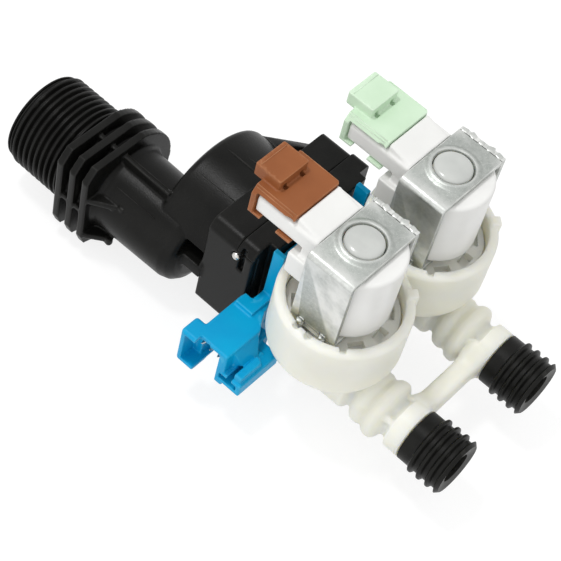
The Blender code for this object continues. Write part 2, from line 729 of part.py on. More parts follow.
# Diaphragms, guide tubes, plungers and springs
guide_in = GUIDE_R - GUIDE_WALL
plunger_r = guide_in - SLIDE
flange_z = SHELF_Z + 1.7
flange_top = flange_z + 3.8
tube_top = YOKE_Z + YOKE_H + 0.7
disc_z = SEAT_Z + 0.25
tip_z = disc_z + 3.3
plunger_top = tube_top - 1.4 - STROKE - 4.5
bead_r = cup_wall_r - 0.9 - FIT
for end, y in (("front", VALVE_Y), ("rear", REAR_Y)):
    centre = (VALVE_X, y)
    skin = turned(
        [
            (disc_z, SEAT_R - 1.6),
            (disc_z, SEAT_R + 2.1),
            (disc_z + 0.3, SEAT_R + 3.0),
            (SHELF_Z + 0.25, bead_r - 1.0),
            (SHELF_Z + 0.25, bead_r + 0.9),
            (SHELF_Z + 1.45, bead_r + 0.9),
            (SHELF_Z + 1.45, bead_r - 0.6),
            (SHELF_Z + 1.0, bead_r - 1.0),
            (disc_z + 1.4, SEAT_R + 3.0),
            (disc_z + 1.2, SEAT_R - 1.6),
        ],
        "Z",
        centre,
        22,
    )
    finish(skin, f"diaphragm_{end}", (0.04, 0.04, 0.04), 0.7)
    insert = turned(
        [
            (disc_z - 1.8, 0.7),
            (disc_z - 1.8, SEAT_R - 2.2),
            (disc_z + 1.35, SEAT_R - 1.6 - FIT),
            (disc_z + 1.6, SEAT_R + 1.6),
            (disc_z + 2.2, SEAT_R + 1.6),
            (disc_z + 2.2, 1.6),
            (disc_z + 2.9, 1.2),
            (disc_z + 2.9, 0.7),
        ],
        "Z",
        centre,
        16,
    )
    finish(insert, f"diaphragm_insert_{end}", (0.85, 0.85, 0.82), 0.4)

    guide = turned(
        [
            (flange_z, GUIDE_R + 4.0),
            (flange_z, cup_wall_r - FIT),
            (flange_top, cup_wall_r - FIT),
            (flange_top, GUIDE_R + 1.6),
            (YOKE_Z - FIT, GUIDE_R + 1.4),
            (YOKE_Z - FIT, GUIDE_R),
            (tube_top - 3.0, GUIDE_R),
            (tube_top - 2.6, GUIDE_R - 0.5),
            (tube_top - 0.4, GUIDE_R - 0.5),
            (tube_top, GUIDE_R - 1.0),
            (tube_top + 0.4, GUIDE_R - 2.2),
            (tube_top + 0.5, 0),
            (tube_top - 1.3, 0),
            (tube_top - 1.3, guide_in - 0.6),
            (tube_top - 3.8, guide_in),
            (flange_z + 1.4, guide_in),
            (flange_z + 1.0, GUIDE_R + 4.0),
        ],
        "Z",
        centre,
        24,
    )
    cuts = []
    for k in range(10):
        slot_outline = []
        for radius, sweep in ((cup_wall_r - 4.2, 1), (cup_wall_r - 1.9, -1)):
            for i in range(3):
                angle = math.radians(36 * k + 3.4 + sweep * (-10 + 10 * i))
                slot_outline.append(
                    (VALVE_X + radius * math.cos(angle), y + radius * math.sin(angle))
                )
        cuts.append(prism(slot_outline, "Z", flange_z + 1.7, flange_top + 1))
    cut(guide, *cuts)
    key = box(
        (VALVE_X + cup_wall_r - 1.65, VALVE_X + cup_wall_r - FIT - 0.35),
        (y - 1.6, y + 1.6),
        (flange_top - 0.4, flange_top + 0.7),
    )
    key.data.transform(
        Matrix.Translation((VALVE_X, y, 0))
        @ Matrix.Rotation(math.radians(-41), 4, "Z")
        @ Matrix.Translation((-VALVE_X, -y, 0))
    )
    join(guide, key)
    finish(guide, f"guide_tube_{end}", (0.8, 0.79, 0.73), 0.45)

    plunger = turned(
        [
            (tip_z, 0),
            (tip_z, plunger_r - 0.9),
            (tip_z + 0.8, plunger_r),
            (plunger_top, plunger_r),
            (plunger_top, 1.9),
            (plunger_top - 7.0, 1.9),
            (plunger_top - 7.0, 0),
        ],
        "Z",
        centre,
        20,
    )
    cut(plunger, rod("Z", tip_z - 1, tip_z + 1.8, centre, 1.85, 14))
    finish(
        plunger, f"plunger_{end}", STEEL, 0.3, 1.0,
        origin=(VALVE_X, y, (tip_z + plunger_top) / 2),
    )
    seat_pad = rod("Z", tip_z - 0.25, tip_z + 1.6, centre, 1.6, 16)
    finish(
        seat_pad, f"plunger_pad_{end}", (0.04, 0.04, 0.04), 0.7,
        origin=(VALVE_X, y, (tip_z + plunger_top) / 2),
    )

    low, high, coils, wire, coil_r = plunger_top - 6.6, tube_top - 1.75, 5, 0.25, 1.45
    bm = bmesh.new()
    rows = []
    count = coils * 10
    for k in range(count + 1):
        angle = 2 * math.pi * k / 10
        at = low + (high - low) * k / count
        out = Vector((math.cos(angle), math.sin(angle), 0))
        row = []
        for i in range(4):
            turn = math.pi * i / 2
            point = out * (coil_r + wire * math.cos(turn))
            point.z = at + wire * math.sin(turn)
            row.append(bm.verts.new(point + Vector((VALVE_X, y, 0))))
        rows.append(row)
    for first, second in zip(rows, rows[1:]):
        for i in range(4):
            j = (i + 1) % 4
            bm.faces.new((first[i], first[j], second[j], second[i]))
    bm.faces.new(rows[0])
    bm.faces.new(rows[-1])
    finish(obj_of(bm), f"plunger_spring_{end}", STEEL, 0.3, 1.0, angle=60)

# Steel yokes, two bent plates locked by teeth
half = YOKE_D / 2
yoke_x0, yoke_x1 = VALVE_X - YOKE_W / 2, VALVE_X + YOKE_W / 2
yoke_top = YOKE_Z + YOKE_H
for end, y in (("front", VALVE_Y), ("rear", REAR_Y)):
    centre = (VALVE_X, y)
    outer = rounded(
        [
            (YOKE_Z + YOKE_T + FIT, y - half, 0),
            (yoke_top, y - half, 1.5),
            (yoke_top, y + half - YOKE_T - FIT, 0),
            (yoke_top - YOKE_T, y + half - YOKE_T - FIT, 0),
            (yoke_top - YOKE_T, y - half + YOKE_T, 0.4),
            (YOKE_Z + YOKE_T + FIT, y - half + YOKE_T, 0),
        ],
        3,
    )
    upper = prism([(v, u) for u, v in outer], "X", yoke_x0, yoke_x1)
    teeth = []
    for x in (-4.3, -1.6, 1.9, 4.3):
        teeth.append(
            box(
                (VALVE_X + x - 0.75, VALVE_X + x + 0.75),
                (y + half - YOKE_T - FIT - 0.5, y + half + 0.35),
                (yoke_top - YOKE_T + 0.1, yoke_top - 0.05),
            )
        )
    collar = turned(
        [
            (yoke_top - 0.5, 0),
            (yoke_top - 0.5, GUIDE_R + 1.6),
            (yoke_top + 0.25, GUIDE_R + 1.5),
            (yoke_top + 0.7, GUIDE_R + 1.0),
            (yoke_top + 0.7, 0),
        ],
        "Z",
        centre,
        26,
    )
    notches = [
        box((x - 1.0, x + 1.0), (y - half - 1, y - half + YOKE_T + 1), (YOKE_Z, YOKE_Z + 2.3))
        for x in (VALVE_X - 3.3, VALVE_X + 3.1)
    ]
    cut(upper, *notches)
    join(upper, collar, *teeth)
    cut(upper, rod("Z", yoke_top - YOKE_T - 1, yoke_top + 1, centre, GUIDE_R - 0.3, 26))
    finish(upper, f"yoke_upper_{end}", STEEL, 0.35, 1.0)

    inner = rounded(
        [
            (YOKE_Z, y - half, 0),
            (YOKE_Z + YOKE_T, y - half, 0),
            (YOKE_Z + YOKE_T, y + half - YOKE_T, 0.4),
            (yoke_top, y + half - YOKE_T, 0),
            (yoke_top, y + half, 0),
            (YOKE_Z, y + half, 1.5),
        ],
        3,
    )
    lower = prism([(v, u) for u, v in inner], "X", yoke_x0, yoke_x1)
    notches = [
        box(
            (VALVE_X + x - 0.95, VALVE_X + x + 0.95),
            (y + half - YOKE_T - 1, y + half + 1),
            (yoke_top - YOKE_T - 0.1, yoke_top + 1),
        )
        for x in (-4.3, -1.6, 1.9, 4.3)
    ]
    notches.append(rod("Z", YOKE_Z - 1, YOKE_Z + YOKE_T + 1, centre, GUIDE_R + FIT, 26))
    feet = [
        box((x - 0.8, x + 0.8), (y - half - 0.35, y - half + 1.1), (YOKE_Z + 0.1, YOKE_Z + 2.1))
        for x in (VALVE_X - 3.3, VALVE_X + 3.1)
    ]
    join(lower, *feet)
    cut(lower, *notches)
    finish(lower, f"yoke_lower_{end}", STEEL, 0.35, 1.0)

# Encapsulated coils with their terminal necks
coil_low, coil_high = YOKE_Z + YOKE_T + FIT, yoke_top - YOKE_T - FIT
neck_top = yoke_top - 0.4
neck_low = neck_top - NECK_H
neck_x0 = CAP_START + 1.5
for end, y in (("front", VALVE_Y), ("rear", REAR_Y)):
    centre = (VALVE_X, y)
    side = half - YOKE_T - FIT
    coil = turned(
        [
            (coil_low, 0),
            (coil_low, COIL_R - 0.9),
            (coil_low + 0.9, COIL_R),
            (coil_high - 0.5, COIL_R - 0.4),
            (coil_high, COIL_R - 0.9),
            (coil_high, 0),
        ],
        "Z",
        centre,
        34,
    )
    keep(coil, box((VALVE_X - 20, VALVE_X + 20), (y - side, y + side), (0, 60)))
    base = box((VALVE_X - 12.5, VALVE_X), (y - 9.6, y + 9.6), (32.4, 39.1))
    neck = prism(
        rounded(
            [
                (y - NECK_W / 2, neck_low, 0.8),
                (y + NECK_W / 2, neck_low, 0.8),
                (y + NECK_W / 2, neck_top, 0.8),
                (y - NECK_W / 2, neck_top, 0.8),
            ],
            3,
        ),
        "X",
        neck_x0,
        yoke_x0 - FIT,
    )
    riser = box((VALVE_X - 10.4, VALVE_X - 4), (y - 7.9, y + 7.9), (38.5, coil_high - 0.2))
    join(coil, base, riser, neck)
    holes = [rod("Z", coil_low - 1, coil_high + 1, centre, GUIDE_R + 0.5, 26)]
    for offset in (-3.6, 3.6):
        holes.append(
            box(
                (neck_x0 - 1, neck_x0 + 9.0),
                (y + offset - 3.3, y + offset + 3.3),
                (neck_top - 2.9, neck_top - 1.7),
            )
        )
    holes.append(box((neck_x0 - 1, neck_x0 + 4.0), (y - 6.9, y + 6.9), (neck_top - 3.6, neck_top - 1.0)))
    cut(coil, *holes)
    finish(coil, f"coil_{end}", WHITE, 0.4)
    for side_name, offset in (("left", -3.6), ("right", 3.6)):
        blade = prism(
            [
                (neck_x0 + 0.2, y + offset - 2.4),
                (neck_x0 + 1.2, y + offset - 3.1),
                (neck_x0 + 8.7, y + offset - 3.1),
                (neck_x0 + 8.7, y + offset + 3.1),
                (neck_x0 + 1.2, y + offset + 3.1),
                (neck_x0 + 0.2, y + offset + 2.4),
            ],
            "Z",
            neck_top - 2.7,
            neck_top - 1.9,
        )
        finish(blade, f"terminal_{end}_{side_name}", (0.7, 0.68, 0.6), 0.3, 1.0)

# Coloured terminal caps
cap_low = neck_low - 0.8
brown, green = (0.30, 0.09, 0.02), (0.62, 0.80, 0.62)
for name, y, colour in (("cap_brown", VALVE_Y, brown), ("cap_green", REAR_Y, green)):
    wide = CAP_W / 2
    section = [
        (y - wide, cap_low),
        (y + wide, cap_low),
        (y + wide, CAP_TOP - 2.2),
        (y + wide - 2.8, CAP_TOP),
        (y - wide + 2.8, CAP_TOP),
        (y - wide, CAP_TOP - 2.2),
    ]
    cap = prism(section, "X", CAP_START, CAP_START + CAP_LEN)
    edge = box(
        (CAP_START + 8.0, CAP_START + CAP_LEN + 1.3), (y - wide, y + wide), (cap_low, neck_low - FIT)
    )
    latch = prism(
        rounded(
            [
                (CAP_START - 2.8, y - 5.4, 0.5),
                (CAP_START + 4.7, y - 5.4, 0.5),
                (CAP_START + 4.7, y + 4.2, 0.5),
                (CAP_START - 2.8, y + 4.2, 0.5),
            ],
            3,
        ),
        "Z",
        CAP_TOP - 0.8,
        CAP_TOP + 2.9,
    )
    join(cap, edge, latch)
    cut(
        cap,
        box(
            (CAP_START + 1.3, CAP_START + CAP_LEN + 3),
            (y - NECK_W / 2 - FIT, y + NECK_W / 2 + FIT),
            (neck_low - FIT / 2, neck_top + FIT / 2),
        ),
        box(
            (CAP_START + 1.3, CAP_START + CAP_LEN + 3),
            (y - wide - 1, y + wide + 1),
            (neck_low - FIT / 2, neck_top + FIT / 2 - 0.3),
        ),
        box((CAP_START - 1, CAP_START + 2), (y - 7.0, y + 7.0), (neck_low + 0.7, neck_top - 0.7)),
        box((CAP_START + 3.6, CAP_START + 8.4), (y - wide - 1, y - wide + 3.0), (cap_low - 1, neck_low)),
        *[
            box((CAP_START + 4.0, CAP_START + 5.5), (v - 0.6, v + 0.6), (CAP_TOP - 1.0, CAP_TOP + 1.2))
            for v in (y - 3.4, y + 2.2)
        ],
        box((CAP_START - 1.7, CAP_START + 3.7), (y - 4.2, y + 3.0), (CAP_TOP - 2.0, CAP_TOP + 1.9)),
        *[
            box(
                (CAP_START + 2.6, CAP_START + CAP_LEN + 3),
                (v - 1.5, v + 1.5),
                (neck_low + 1.0, CAP_TOP + 1),
            )
            for v in (y - wide, y + wide)
        ],
    )
    finish(cap, name, colour, 0.5)

# Sensor housing
arm = ((VALVE_Y - 2.7, VALVE_Y - 1.3), (REAR_Y - 4.7, REAR_Y - 3.3))
housing = box((PLATE_START, PLATE_START + 1.2), (arm[0][0], arm[1][1]), (-4.0, 20.0))
parts = [
    box((PLATE_START, PLATE_END), arm[0], (-3.0, CUP_TOP - 0.9)),
    box((PLATE_START, PLATE_END), arm[1], (9.0, CUP_TOP - 0.9)),
    box((55.3, 65.3), (-23.0, BLOCK_Y0 - 0.4), (SOCKET_TOP - SOCKET_DEPTH, SOCKET_TOP)),
    box((52.4, 58.2), (-25.0, -19.4), (SOCKET_TOP - SOCKET_DEPTH - 0.4, SOCKET_TOP)),
    box((PLATE_START, 62.2), (BLOCK_Y0 - 2, VALVE_Y - 1.5), (-3.0, SOCKET_TOP - 0.2)),
    box((55.9, 61.2), (-10.2, BLOCK_Y0 - 0.4), (SOCKET_TOP - 1, SOCKET_TOP + 1.0)),
    box((PLATE_START, 61.2), (-10.2, VALVE_Y - 1.8), (SOCKET_TOP - 1, SOCKET_TOP + 1.0)),
    box((62.5, 70.6), (-23.0, -9.0), (-2.3, 1.8)),
]
join(housing, *parts)
cut(
    housing,
    rod("X", PLATE_START - 1, PLATE_START + 2, port, PORT_R + 2.4, 28),
    box((53.8, 60.0), (-26.0, -20.4), (SOCKET_TOP - SOCKET_DEPTH + 1.0, SOCKET_TOP - 1.3)),
    box((56.2, 60.0), (-26.0, SOCKET_BACK), (SOCKET_TOP - SOCKET_DEPTH + 1.0, SOCKET_TOP - 1.3)),
    box((56.9, 60.0), (-26.0, -22.7), (SOCKET_TOP - SOCKET_DEPTH + 1.0, SOCKET_TOP + 1.0)),
    box((57.6, 63.1), (-26.0, -12.0), (SOCKET_TOP - SOCKET_DEPTH - 1.0, SOCKET_TOP - 1.3)),
    box((64.0, 69.4), (-26.0, -11.5), (-1.2, 0.8)),
    box((66.4, 67.8), (-26.0, -15.0), (0.3, 3.0)),
    rod("Z", 2.4, CUP_TOP + 3, (VALVE_X, VALVE_Y), CUP_R + 0.5, 48),
    box((PLATE_START - 1, PLATE_START + 0.9), (ROTOR_Y - 4.0, ROTOR_Y + 4.0), (1.0, 4.6)),
)
pin_places = [(56.95 + PIN_PITCH * k, 4.2) for k in range(3)]
cut(
    housing,
    *[
        box((x - 0.55, x + 0.55), (SOCKET_BACK - 1, SOCKET_BACK + 3.0), (z - 0.55, z + 0.55))
        for x, z in pin_places
    ],
)
finish(housing, "sensor_housing", BLUE, 0.4)
for k, (x, z) in enumerate(pin_places):
    pin = hull(
        [
            (x + dx, y, z + dz)
            for y, half_size in (
                (-22.0, 0.12),
                (-21.2, 0.32),
                (SOCKET_BACK + 2.7, 0.32),
            )
            for dx in (-half_size, half_size)
            for dz in (-half_size, half_size)
        ]
    )
    finish(pin, f"sensor_pin_{k + 1}", (0.7, 0.68, 0.6), 0.3, 1.0)
board = box(
    (PLATE_START + 0.05, PLATE_START + 0.75), (ROTOR_Y - 3.8, ROTOR_Y + 3.8), (1.2, 4.4)
)
finish(board, "hall_sensor", (0.03, 0.03, 0.03), 0.4)
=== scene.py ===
import math

import bmesh
import bpy
from mathutils import Matrix, Quaternion, Vector


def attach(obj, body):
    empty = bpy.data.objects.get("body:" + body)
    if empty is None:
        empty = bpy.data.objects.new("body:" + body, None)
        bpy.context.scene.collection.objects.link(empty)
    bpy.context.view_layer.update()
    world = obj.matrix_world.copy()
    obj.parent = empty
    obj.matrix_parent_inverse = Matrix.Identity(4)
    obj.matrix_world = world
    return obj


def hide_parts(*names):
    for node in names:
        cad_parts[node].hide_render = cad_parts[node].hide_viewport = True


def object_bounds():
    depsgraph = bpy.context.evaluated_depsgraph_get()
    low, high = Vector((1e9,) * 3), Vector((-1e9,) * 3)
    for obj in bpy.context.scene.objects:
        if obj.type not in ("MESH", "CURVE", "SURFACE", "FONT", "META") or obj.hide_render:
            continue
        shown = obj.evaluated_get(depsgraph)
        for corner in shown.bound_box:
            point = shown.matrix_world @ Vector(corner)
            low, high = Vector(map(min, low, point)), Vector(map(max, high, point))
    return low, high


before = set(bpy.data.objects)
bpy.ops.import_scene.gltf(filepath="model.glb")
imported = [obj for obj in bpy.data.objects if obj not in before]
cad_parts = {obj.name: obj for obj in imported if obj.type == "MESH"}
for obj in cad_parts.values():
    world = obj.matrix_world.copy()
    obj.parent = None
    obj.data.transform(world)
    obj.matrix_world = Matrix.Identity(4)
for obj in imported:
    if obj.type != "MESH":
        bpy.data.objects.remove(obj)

cad_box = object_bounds()
scene = bpy.context.scene

# Inlet moulding. One injection moulding of black glass-filled nylon: the panel flange, the water tube,
# the round turbine chamber and the square block that the turbine sits in. Its edges have a small mould
# radius, and the halves of the mould leave thin parting ridges on the tube and over the chamber.
THREAD_LEN, THREAD_R, THREAD_PITCH, BORE_R = 18.8, 13.22, 1.814, 9.0
FLANGE_SIDE, FLANGE_TOP, FLANGE_R, CORE_R = 14.5, 15.5, 16.3, 12.5
RIB_T, RIB_STEP = 2.0, 4.2
TUBE_R, TUBE_END = 11.7, 36.8
DOME_R, DOME_Y, DOME_START, DOME_END, DOME_WALL = 20.5, 13.2, 25.0, 36.6, 2.3
BLOCK_X, SPLIT_X, SIDE_END, BLOCK_END = 41.6, 50.6, 55.5, 57.9
BLOCK_Y, BLOCK_Z = (-6.3, 34.7), (-8.0, 23.3)
ROTOR, CAVITY_R = (13.9, 7.6), 12.9
PIN_X, PIN_Z, PIN_R = SPLIT_X + 0.05, 18.3, 1.1


def add(tree, kind, inputs=None, **settings):
    """A node, with its settings and with values or links for its inputs."""
    node = tree.nodes.new(kind)
    for key, value in settings.items():
        setattr(node, key, value)
    for key, value in (inputs or {}).items():
        if isinstance(value, bpy.types.NodeSocket):
            tree.links.new(value, node.inputs[key])
        else:
            node.inputs[key].default_value = value
    return node


def calc(tree, operation, *values, clamp=False):
    return add(tree, "ShaderNodeMath", dict(enumerate(values)), operation=operation, use_clamp=clamp).outputs[0]


def sums(tree):
    """Plus, minus and times as nodes of one tree."""
    words = ("ADD", "SUBTRACT", "MULTIPLY")
    return [lambda *values, word=word, **clamp: calc(tree, word, *values, **clamp) for word in words]


def ramp(tree, value, low, high, to_low=0.0, to_high=1.0):
    """Value between low and high, turned into a share from to_low to to_high."""
    return add(tree, "ShaderNodeMapRange", {0: value, 1: low, 2: high, 3: to_low, 4: to_high}).outputs[0]


def blend_of(tree, share, first, second):
    """Two colours mixed by a share."""
    return add(tree, "ShaderNodeMix", {0: share, 6: first, 7: second}, data_type="RGBA").outputs[2]


def vector_of(tree, x, y, z):
    return add(tree, "ShaderNodeCombineXYZ", {0: x, 1: y, 2: z}).outputs[0]


def noise(tree, size, detail):
    """Soft noise over a piece, with clouds of a size in millimetres."""
    place = tree.nodes.new("ShaderNodeTexCoord").outputs["Object"]
    scale = calc(tree, "DIVIDE", 1000.0, size)
    return add(tree, "ShaderNodeTexNoise", {"Vector": place, "Scale": scale, "Detail": detail}).outputs["Fac"]


def new_tree(name, kind, inputs, outputs):
    """A node group. Each input has its first value, or the kind of its socket where it has none."""
    tree = bpy.data.node_groups.new(name, kind)
    for key, value in inputs.items():
        sort = {float: "Float", int: "Int", tuple: "Color"}.get(type(value), value)
        socket = tree.interface.new_socket(key, in_out="INPUT", socket_type="NodeSocket" + sort)
        if sort != value:
            socket.default_value = value
    for key, sort in outputs.items():
        tree.interface.new_socket(key, in_out="OUTPUT", socket_type="NodeSocket" + sort)
    return tree, tree.nodes.new("NodeGroupInput").outputs, tree.nodes.new("NodeGroupOutput").inputs


# Skin of a moulding: slow clouds of colour where the melt flowed, and the fine grain of the mould wall
skin, given, made = new_tree(
    "moulded_skin", "ShaderNodeTree",
    {
        "Colour": (0.5, 0.5, 0.5, 1), "Cloud colour": (0.4, 0.4, 0.4, 1), "Cloud size": 9.0, "Grain size": 0.5,
        "Roughness": 0.45, "Spread": 0.12,
    },
    {"Colour": "Color", "Roughness": "Float", "Height": "Float"},
)
plus, minus, times = sums(skin)
cloud, grain = noise(skin, given["Cloud size"], 3.0), noise(skin, given["Grain size"], 2.0)
skin.links.new(blend_of(skin, ramp(skin, cloud, 0.36, 0.66), given["Colour"], given["Cloud colour"]), made["Colour"])
mottle = minus(plus(cloud, times(grain, 0.6)), 0.8)
skin.links.new(plus(given["Roughness"], times(mottle, given["Spread"])), made["Roughness"])
skin.links.new(plus(grain, times(cloud, 0.5)), made["Height"])

# Worn edges with painted highlights: a mask that is strong on sharp outer edges and broken up in patches, where a
# lighter colour stands for both real wear and painted highlights
edge_wear_and_highlight, given, made = new_tree(
    "worn_and_highlit_edges", "ShaderNodeTree",
    {"Start": 0.512, "Full": 0.575, "Patch size": 4.0, "Amount": 1.0}, {"Mask": "Float"},
)
edge = ramp(edge_wear_and_highlight, edge_wear_and_highlight.nodes.new("ShaderNodeNewGeometry").outputs["Pointiness"], given["Start"], given["Full"])
patch = ramp(edge_wear_and_highlight, noise(edge_wear_and_highlight, given["Patch size"], 4.0), 0.3, 0.6, 0.35, 1.0)
edge_wear_and_highlight.links.new(calc(edge_wear_and_highlight, "MULTIPLY", calc(edge_wear_and_highlight, "MULTIPLY", edge, patch), given["Amount"]), made["Mask"])

# Scuffs: thin straight scratches that run across one another
scuff, given, made = new_tree(
    "scuffs", "ShaderNodeTree", {"Length": 9.0, "Width": 0.14, "Amount": 0.5}, {"Mask": "Float"}
)
place = scuff.nodes.new("ShaderNodeTexCoord").outputs["Object"]
length, width = (calc(scuff, "DIVIDE", 1000.0, given[key]) for key in ("Length", "Width"))
sizes = vector_of(scuff, length, width, width)
lines = []
for turn in ((0.5, 0.3, 0.4), (-0.7, 0.9, 2.1)):
    turned_place = add(scuff, "ShaderNodeMapping", {"Vector": place, "Rotation": turn}).outputs[0]
    stretched = add(scuff, "ShaderNodeVectorMath", {0: turned_place, 1: sizes}, operation="MULTIPLY").outputs[0]
    line = add(scuff, "ShaderNodeTexNoise", {"Vector": stretched, "Scale": 1.0, "Detail": 1.0}).outputs["Fac"]
    lines.append(ramp(scuff, line, 0.66, 0.74))
scuff.links.new(calc(scuff, "MULTIPLY", calc(scuff, "MAXIMUM", *lines), given["Amount"]), made["Mask"])


def moulded(
    name, colour, cloud, rough, spread=0.12, cloud_size=9.0, grain_size=0.5, relief=0.02,
    edge_wear_and_highlight_colour=None, edge_wear_and_highlight_amount=0.5, scuffs=0.0, scuff_colour=None, **sockets,
):
    """A plastic or rubber: skin, edges painted lighter for both wear and highlights, and scuffs on one Principled
    shader.
    """
    material = bpy.data.materials.new(name)
    material.use_nodes = True
    tree = material.node_tree
    shader = tree.nodes["Principled BSDF"]
    base = add(
        tree, "ShaderNodeGroup",
        {
            "Colour": (*colour, 1), "Cloud colour": (*cloud, 1), "Cloud size": cloud_size,
            "Grain size": grain_size, "Roughness": rough, "Spread": spread,
        },
        node_tree=skin,
    ).outputs
    shown = base["Colour"]
    # Sharp edges take a lighter colour: real wear together with painted highlights
    if edge_wear_and_highlight_colour:
        wear_and_highlight_mask = add(tree, "ShaderNodeGroup", {"Amount": edge_wear_and_highlight_amount}, node_tree=edge_wear_and_highlight).outputs["Mask"]
        shown = blend_of(tree, wear_and_highlight_mask, shown, (*edge_wear_and_highlight_colour, 1))
    if scuffs:
        marks = add(tree, "ShaderNodeGroup", {"Amount": scuffs}, node_tree=scuff).outputs["Mask"]
        shown = blend_of(tree, marks, shown, (*(scuff_colour or edge_wear_and_highlight_colour), 1))
    tree.links.new(shown, shader.inputs["Base Color"])
    tree.links.new(base["Roughness"], shader.inputs["Roughness"])
    bump = add(tree, "ShaderNodeBump", {"Height": base["Height"], "Distance": relief * 0.001, "Strength": 0.6})
    tree.links.new(bump.outputs[0], shader.inputs["Normal"])
    for key, value in sockets.items():
        shader.inputs[key.replace("_", " ")].default_value = value
    return material


# Edges lighter, for both wear and painted highlights
black_nylon = moulded(
    "black_nylon", (0.0047, 0.0047, 0.0042), (0.0078, 0.0077, 0.007), 0.33, spread=0.2, cloud_size=7,
    grain_size=0.35, relief=0.05, edge_wear_and_highlight_colour=(0.034, 0.034, 0.031), edge_wear_and_highlight_amount=0.6, scuffs=0.2, IOR=1.22,
)


def shape_of(bm, name="shape"):
    """The mesh as an object, with its faces outward. Shapes are in millimetres until they are done."""
    bmesh.ops.recalc_face_normals(bm, faces=bm.faces)
    mesh = bpy.data.meshes.new(name)
    bm.to_mesh(mesh)
    bm.free()
    obj = bpy.data.objects.new(name, mesh)
    scene.collection.objects.link(obj)
    return obj


def on_axis(axis, a, u, v):
    """The point with a along the axis and u, v across it, in X, Y, Z order."""
    return Vector({"X": (a, u, v), "Y": (v, a, u), "Z": (u, v, a)}[axis])


def box(x, y, z, soft=0.0):
    """A box from three pairs of limits, with its edges rounded by soft."""
    bm = bmesh.new()
    bmesh.ops.create_cube(bm, size=1.0)
    for vert in bm.verts:
        vert.co = Vector([(lo + hi) / 2 + c * (hi - lo) for c, (lo, hi) in zip(vert.co, (x, y, z))])
    if soft:
        bmesh.ops.bevel(bm, geom=bm.edges[:], offset=soft, segments=3, affect="EDGES", profile=0.5)
    return shape_of(bm)


def skinned(bm, rows):
    """Closes rows of vertices into a body: a face at each end and four-sided faces between the rows."""
    bm.faces.new(rows[0])
    bm.faces.new(rows[-1])
    for first, second in zip(rows, rows[1:]):
        for i in range(len(first)):
            j = (i + 1) % len(first)
            bm.faces.new((first[i], first[j], second[j], second[i]))


def prism(outline, axis, start, end, soft=0.0):
    """A flat outline pushed along an axis, with the edges of both ends rounded by soft."""
    count = len(outline)
    area = sum(u0 * v1 - u1 * v0 for (u0, v0), (u1, v1) in zip(outline, outline[1:] + outline[:1]))
    facing = 1 if area > 0 else -1
    inward = []
    for i in range(count):
        here, before, after = (Vector(outline[k % count]) for k in (i, i - 1, i + 1))
        a, b = (here - before).normalized(), (after - here).normalized()
        side = (Vector((-a.y, a.x)) + Vector((-b.y, b.x))) * facing
        side.normalize()
        inward.append(side / max(0.35, side.dot(Vector((-a.y, a.x)) * facing)))
    steps = [(start, 0.0), (end, 0.0)]
    if soft:
        rim = [(soft * (1 - math.cos(t)), soft * (1 - math.sin(t))) for t in [k * math.pi / 6 for k in range(4)]]
        steps = [(start + along, inset) for along, inset in rim]
        steps += [(end - along, inset) for along, inset in reversed(rim)]
    bm = bmesh.new()
    rows = [
        [bm.verts.new(on_axis(axis, a, *(Vector(p) + n * inset))) for p, n in zip(outline, inward)]
        for a, inset in steps
    ]
    skinned(bm, rows)
    return shape_of(bm)


def turned(profile, axis, centre, steps=96):
    """A closed profile of (along, radius) points turned about an axis."""
    bm = bmesh.new()
    rings = []
    angles = [2 * math.pi * k / steps for k in range(steps)]
    for along, radius in profile:
        points = [
            on_axis(axis, along, centre[0] + radius * math.cos(t), centre[1] + radius * math.sin(t)) for t in angles
        ]
        rings.append([bm.verts.new(point) for point in points] if radius > 0 else None)
    for i, first in enumerate(rings):
        second = rings[(i + 1) % len(rings)]
        if first is None and second is None:
            continue
        if first is None or second is None:
            bm.faces.new(first or second)
            continue
        for k in range(steps):
            m = (k + 1) % steps
            bm.faces.new((first[k], first[m], second[m], second[k]))
    return shape_of(bm)


def rod(axis, start, end, centre, radius, steps=64):
    return turned([(start, 0), (start, radius), (end, radius), (end, 0)], axis, centre, steps)


def shifted(points, u, v):
    """Points of a profile or an outline that are given from another point."""
    return [(u + du, v + dv) for du, dv in points]


def hull(points):
    bm = bmesh.new()
    for point in points:
        bm.verts.new(point)
    bmesh.ops.convex_hull(bm, input=bm.verts)
    bmesh.ops.delete(bm, geom=[v for v in bm.verts if not v.link_faces], context="VERTS")
    return shape_of(bm)


def rounded(corners, steps=6):
    """An outline from (u, v, radius) corners, each corner rounded."""
    points = []
    for i, (u, v, radius) in enumerate(corners):
        here = Vector((u, v))
        if radius <= 0:
            points.append((u, v))
            continue
        before = Vector(corners[i - 1][:2]) - here
        after = Vector(corners[(i + 1) % len(corners)][:2]) - here
        half = before.angle(after) / 2
        reach = radius / math.tan(half)
        p, q = here + before.normalized() * reach, here + after.normalized() * reach
        middle = here + (before.normalized() + after.normalized()).normalized() * (radius / math.sin(half))
        a, b = p - middle, q - middle
        turn = a.angle_signed(b)
        points += [tuple(middle + Matrix.Rotation(-turn * k / steps, 2) @ a) for k in range(steps + 1)]
    return points


def placed(obj, spot, degrees, axis="Z"):
    """Turns a shape about an axis through the origin and then moves it to a spot."""
    obj.data.transform(Matrix.Translation(spot) @ Matrix.Rotation(math.radians(degrees), 4, axis))
    return obj


def raised_line(x0, x1, y, z, section):
    """A fine raised line along X, from the four corners of its section."""
    return hull([(x, y + dy, z + dz) for x in (x0, x1) for dy, dz in section])


def evaluated(obj):
    """Applies the modifiers of an object."""
    graph = bpy.context.evaluated_depsgraph_get()
    mesh = bpy.data.meshes.new_from_object(obj.evaluated_get(graph))
    obj.modifiers.clear()
    obj.data = mesh
    return obj


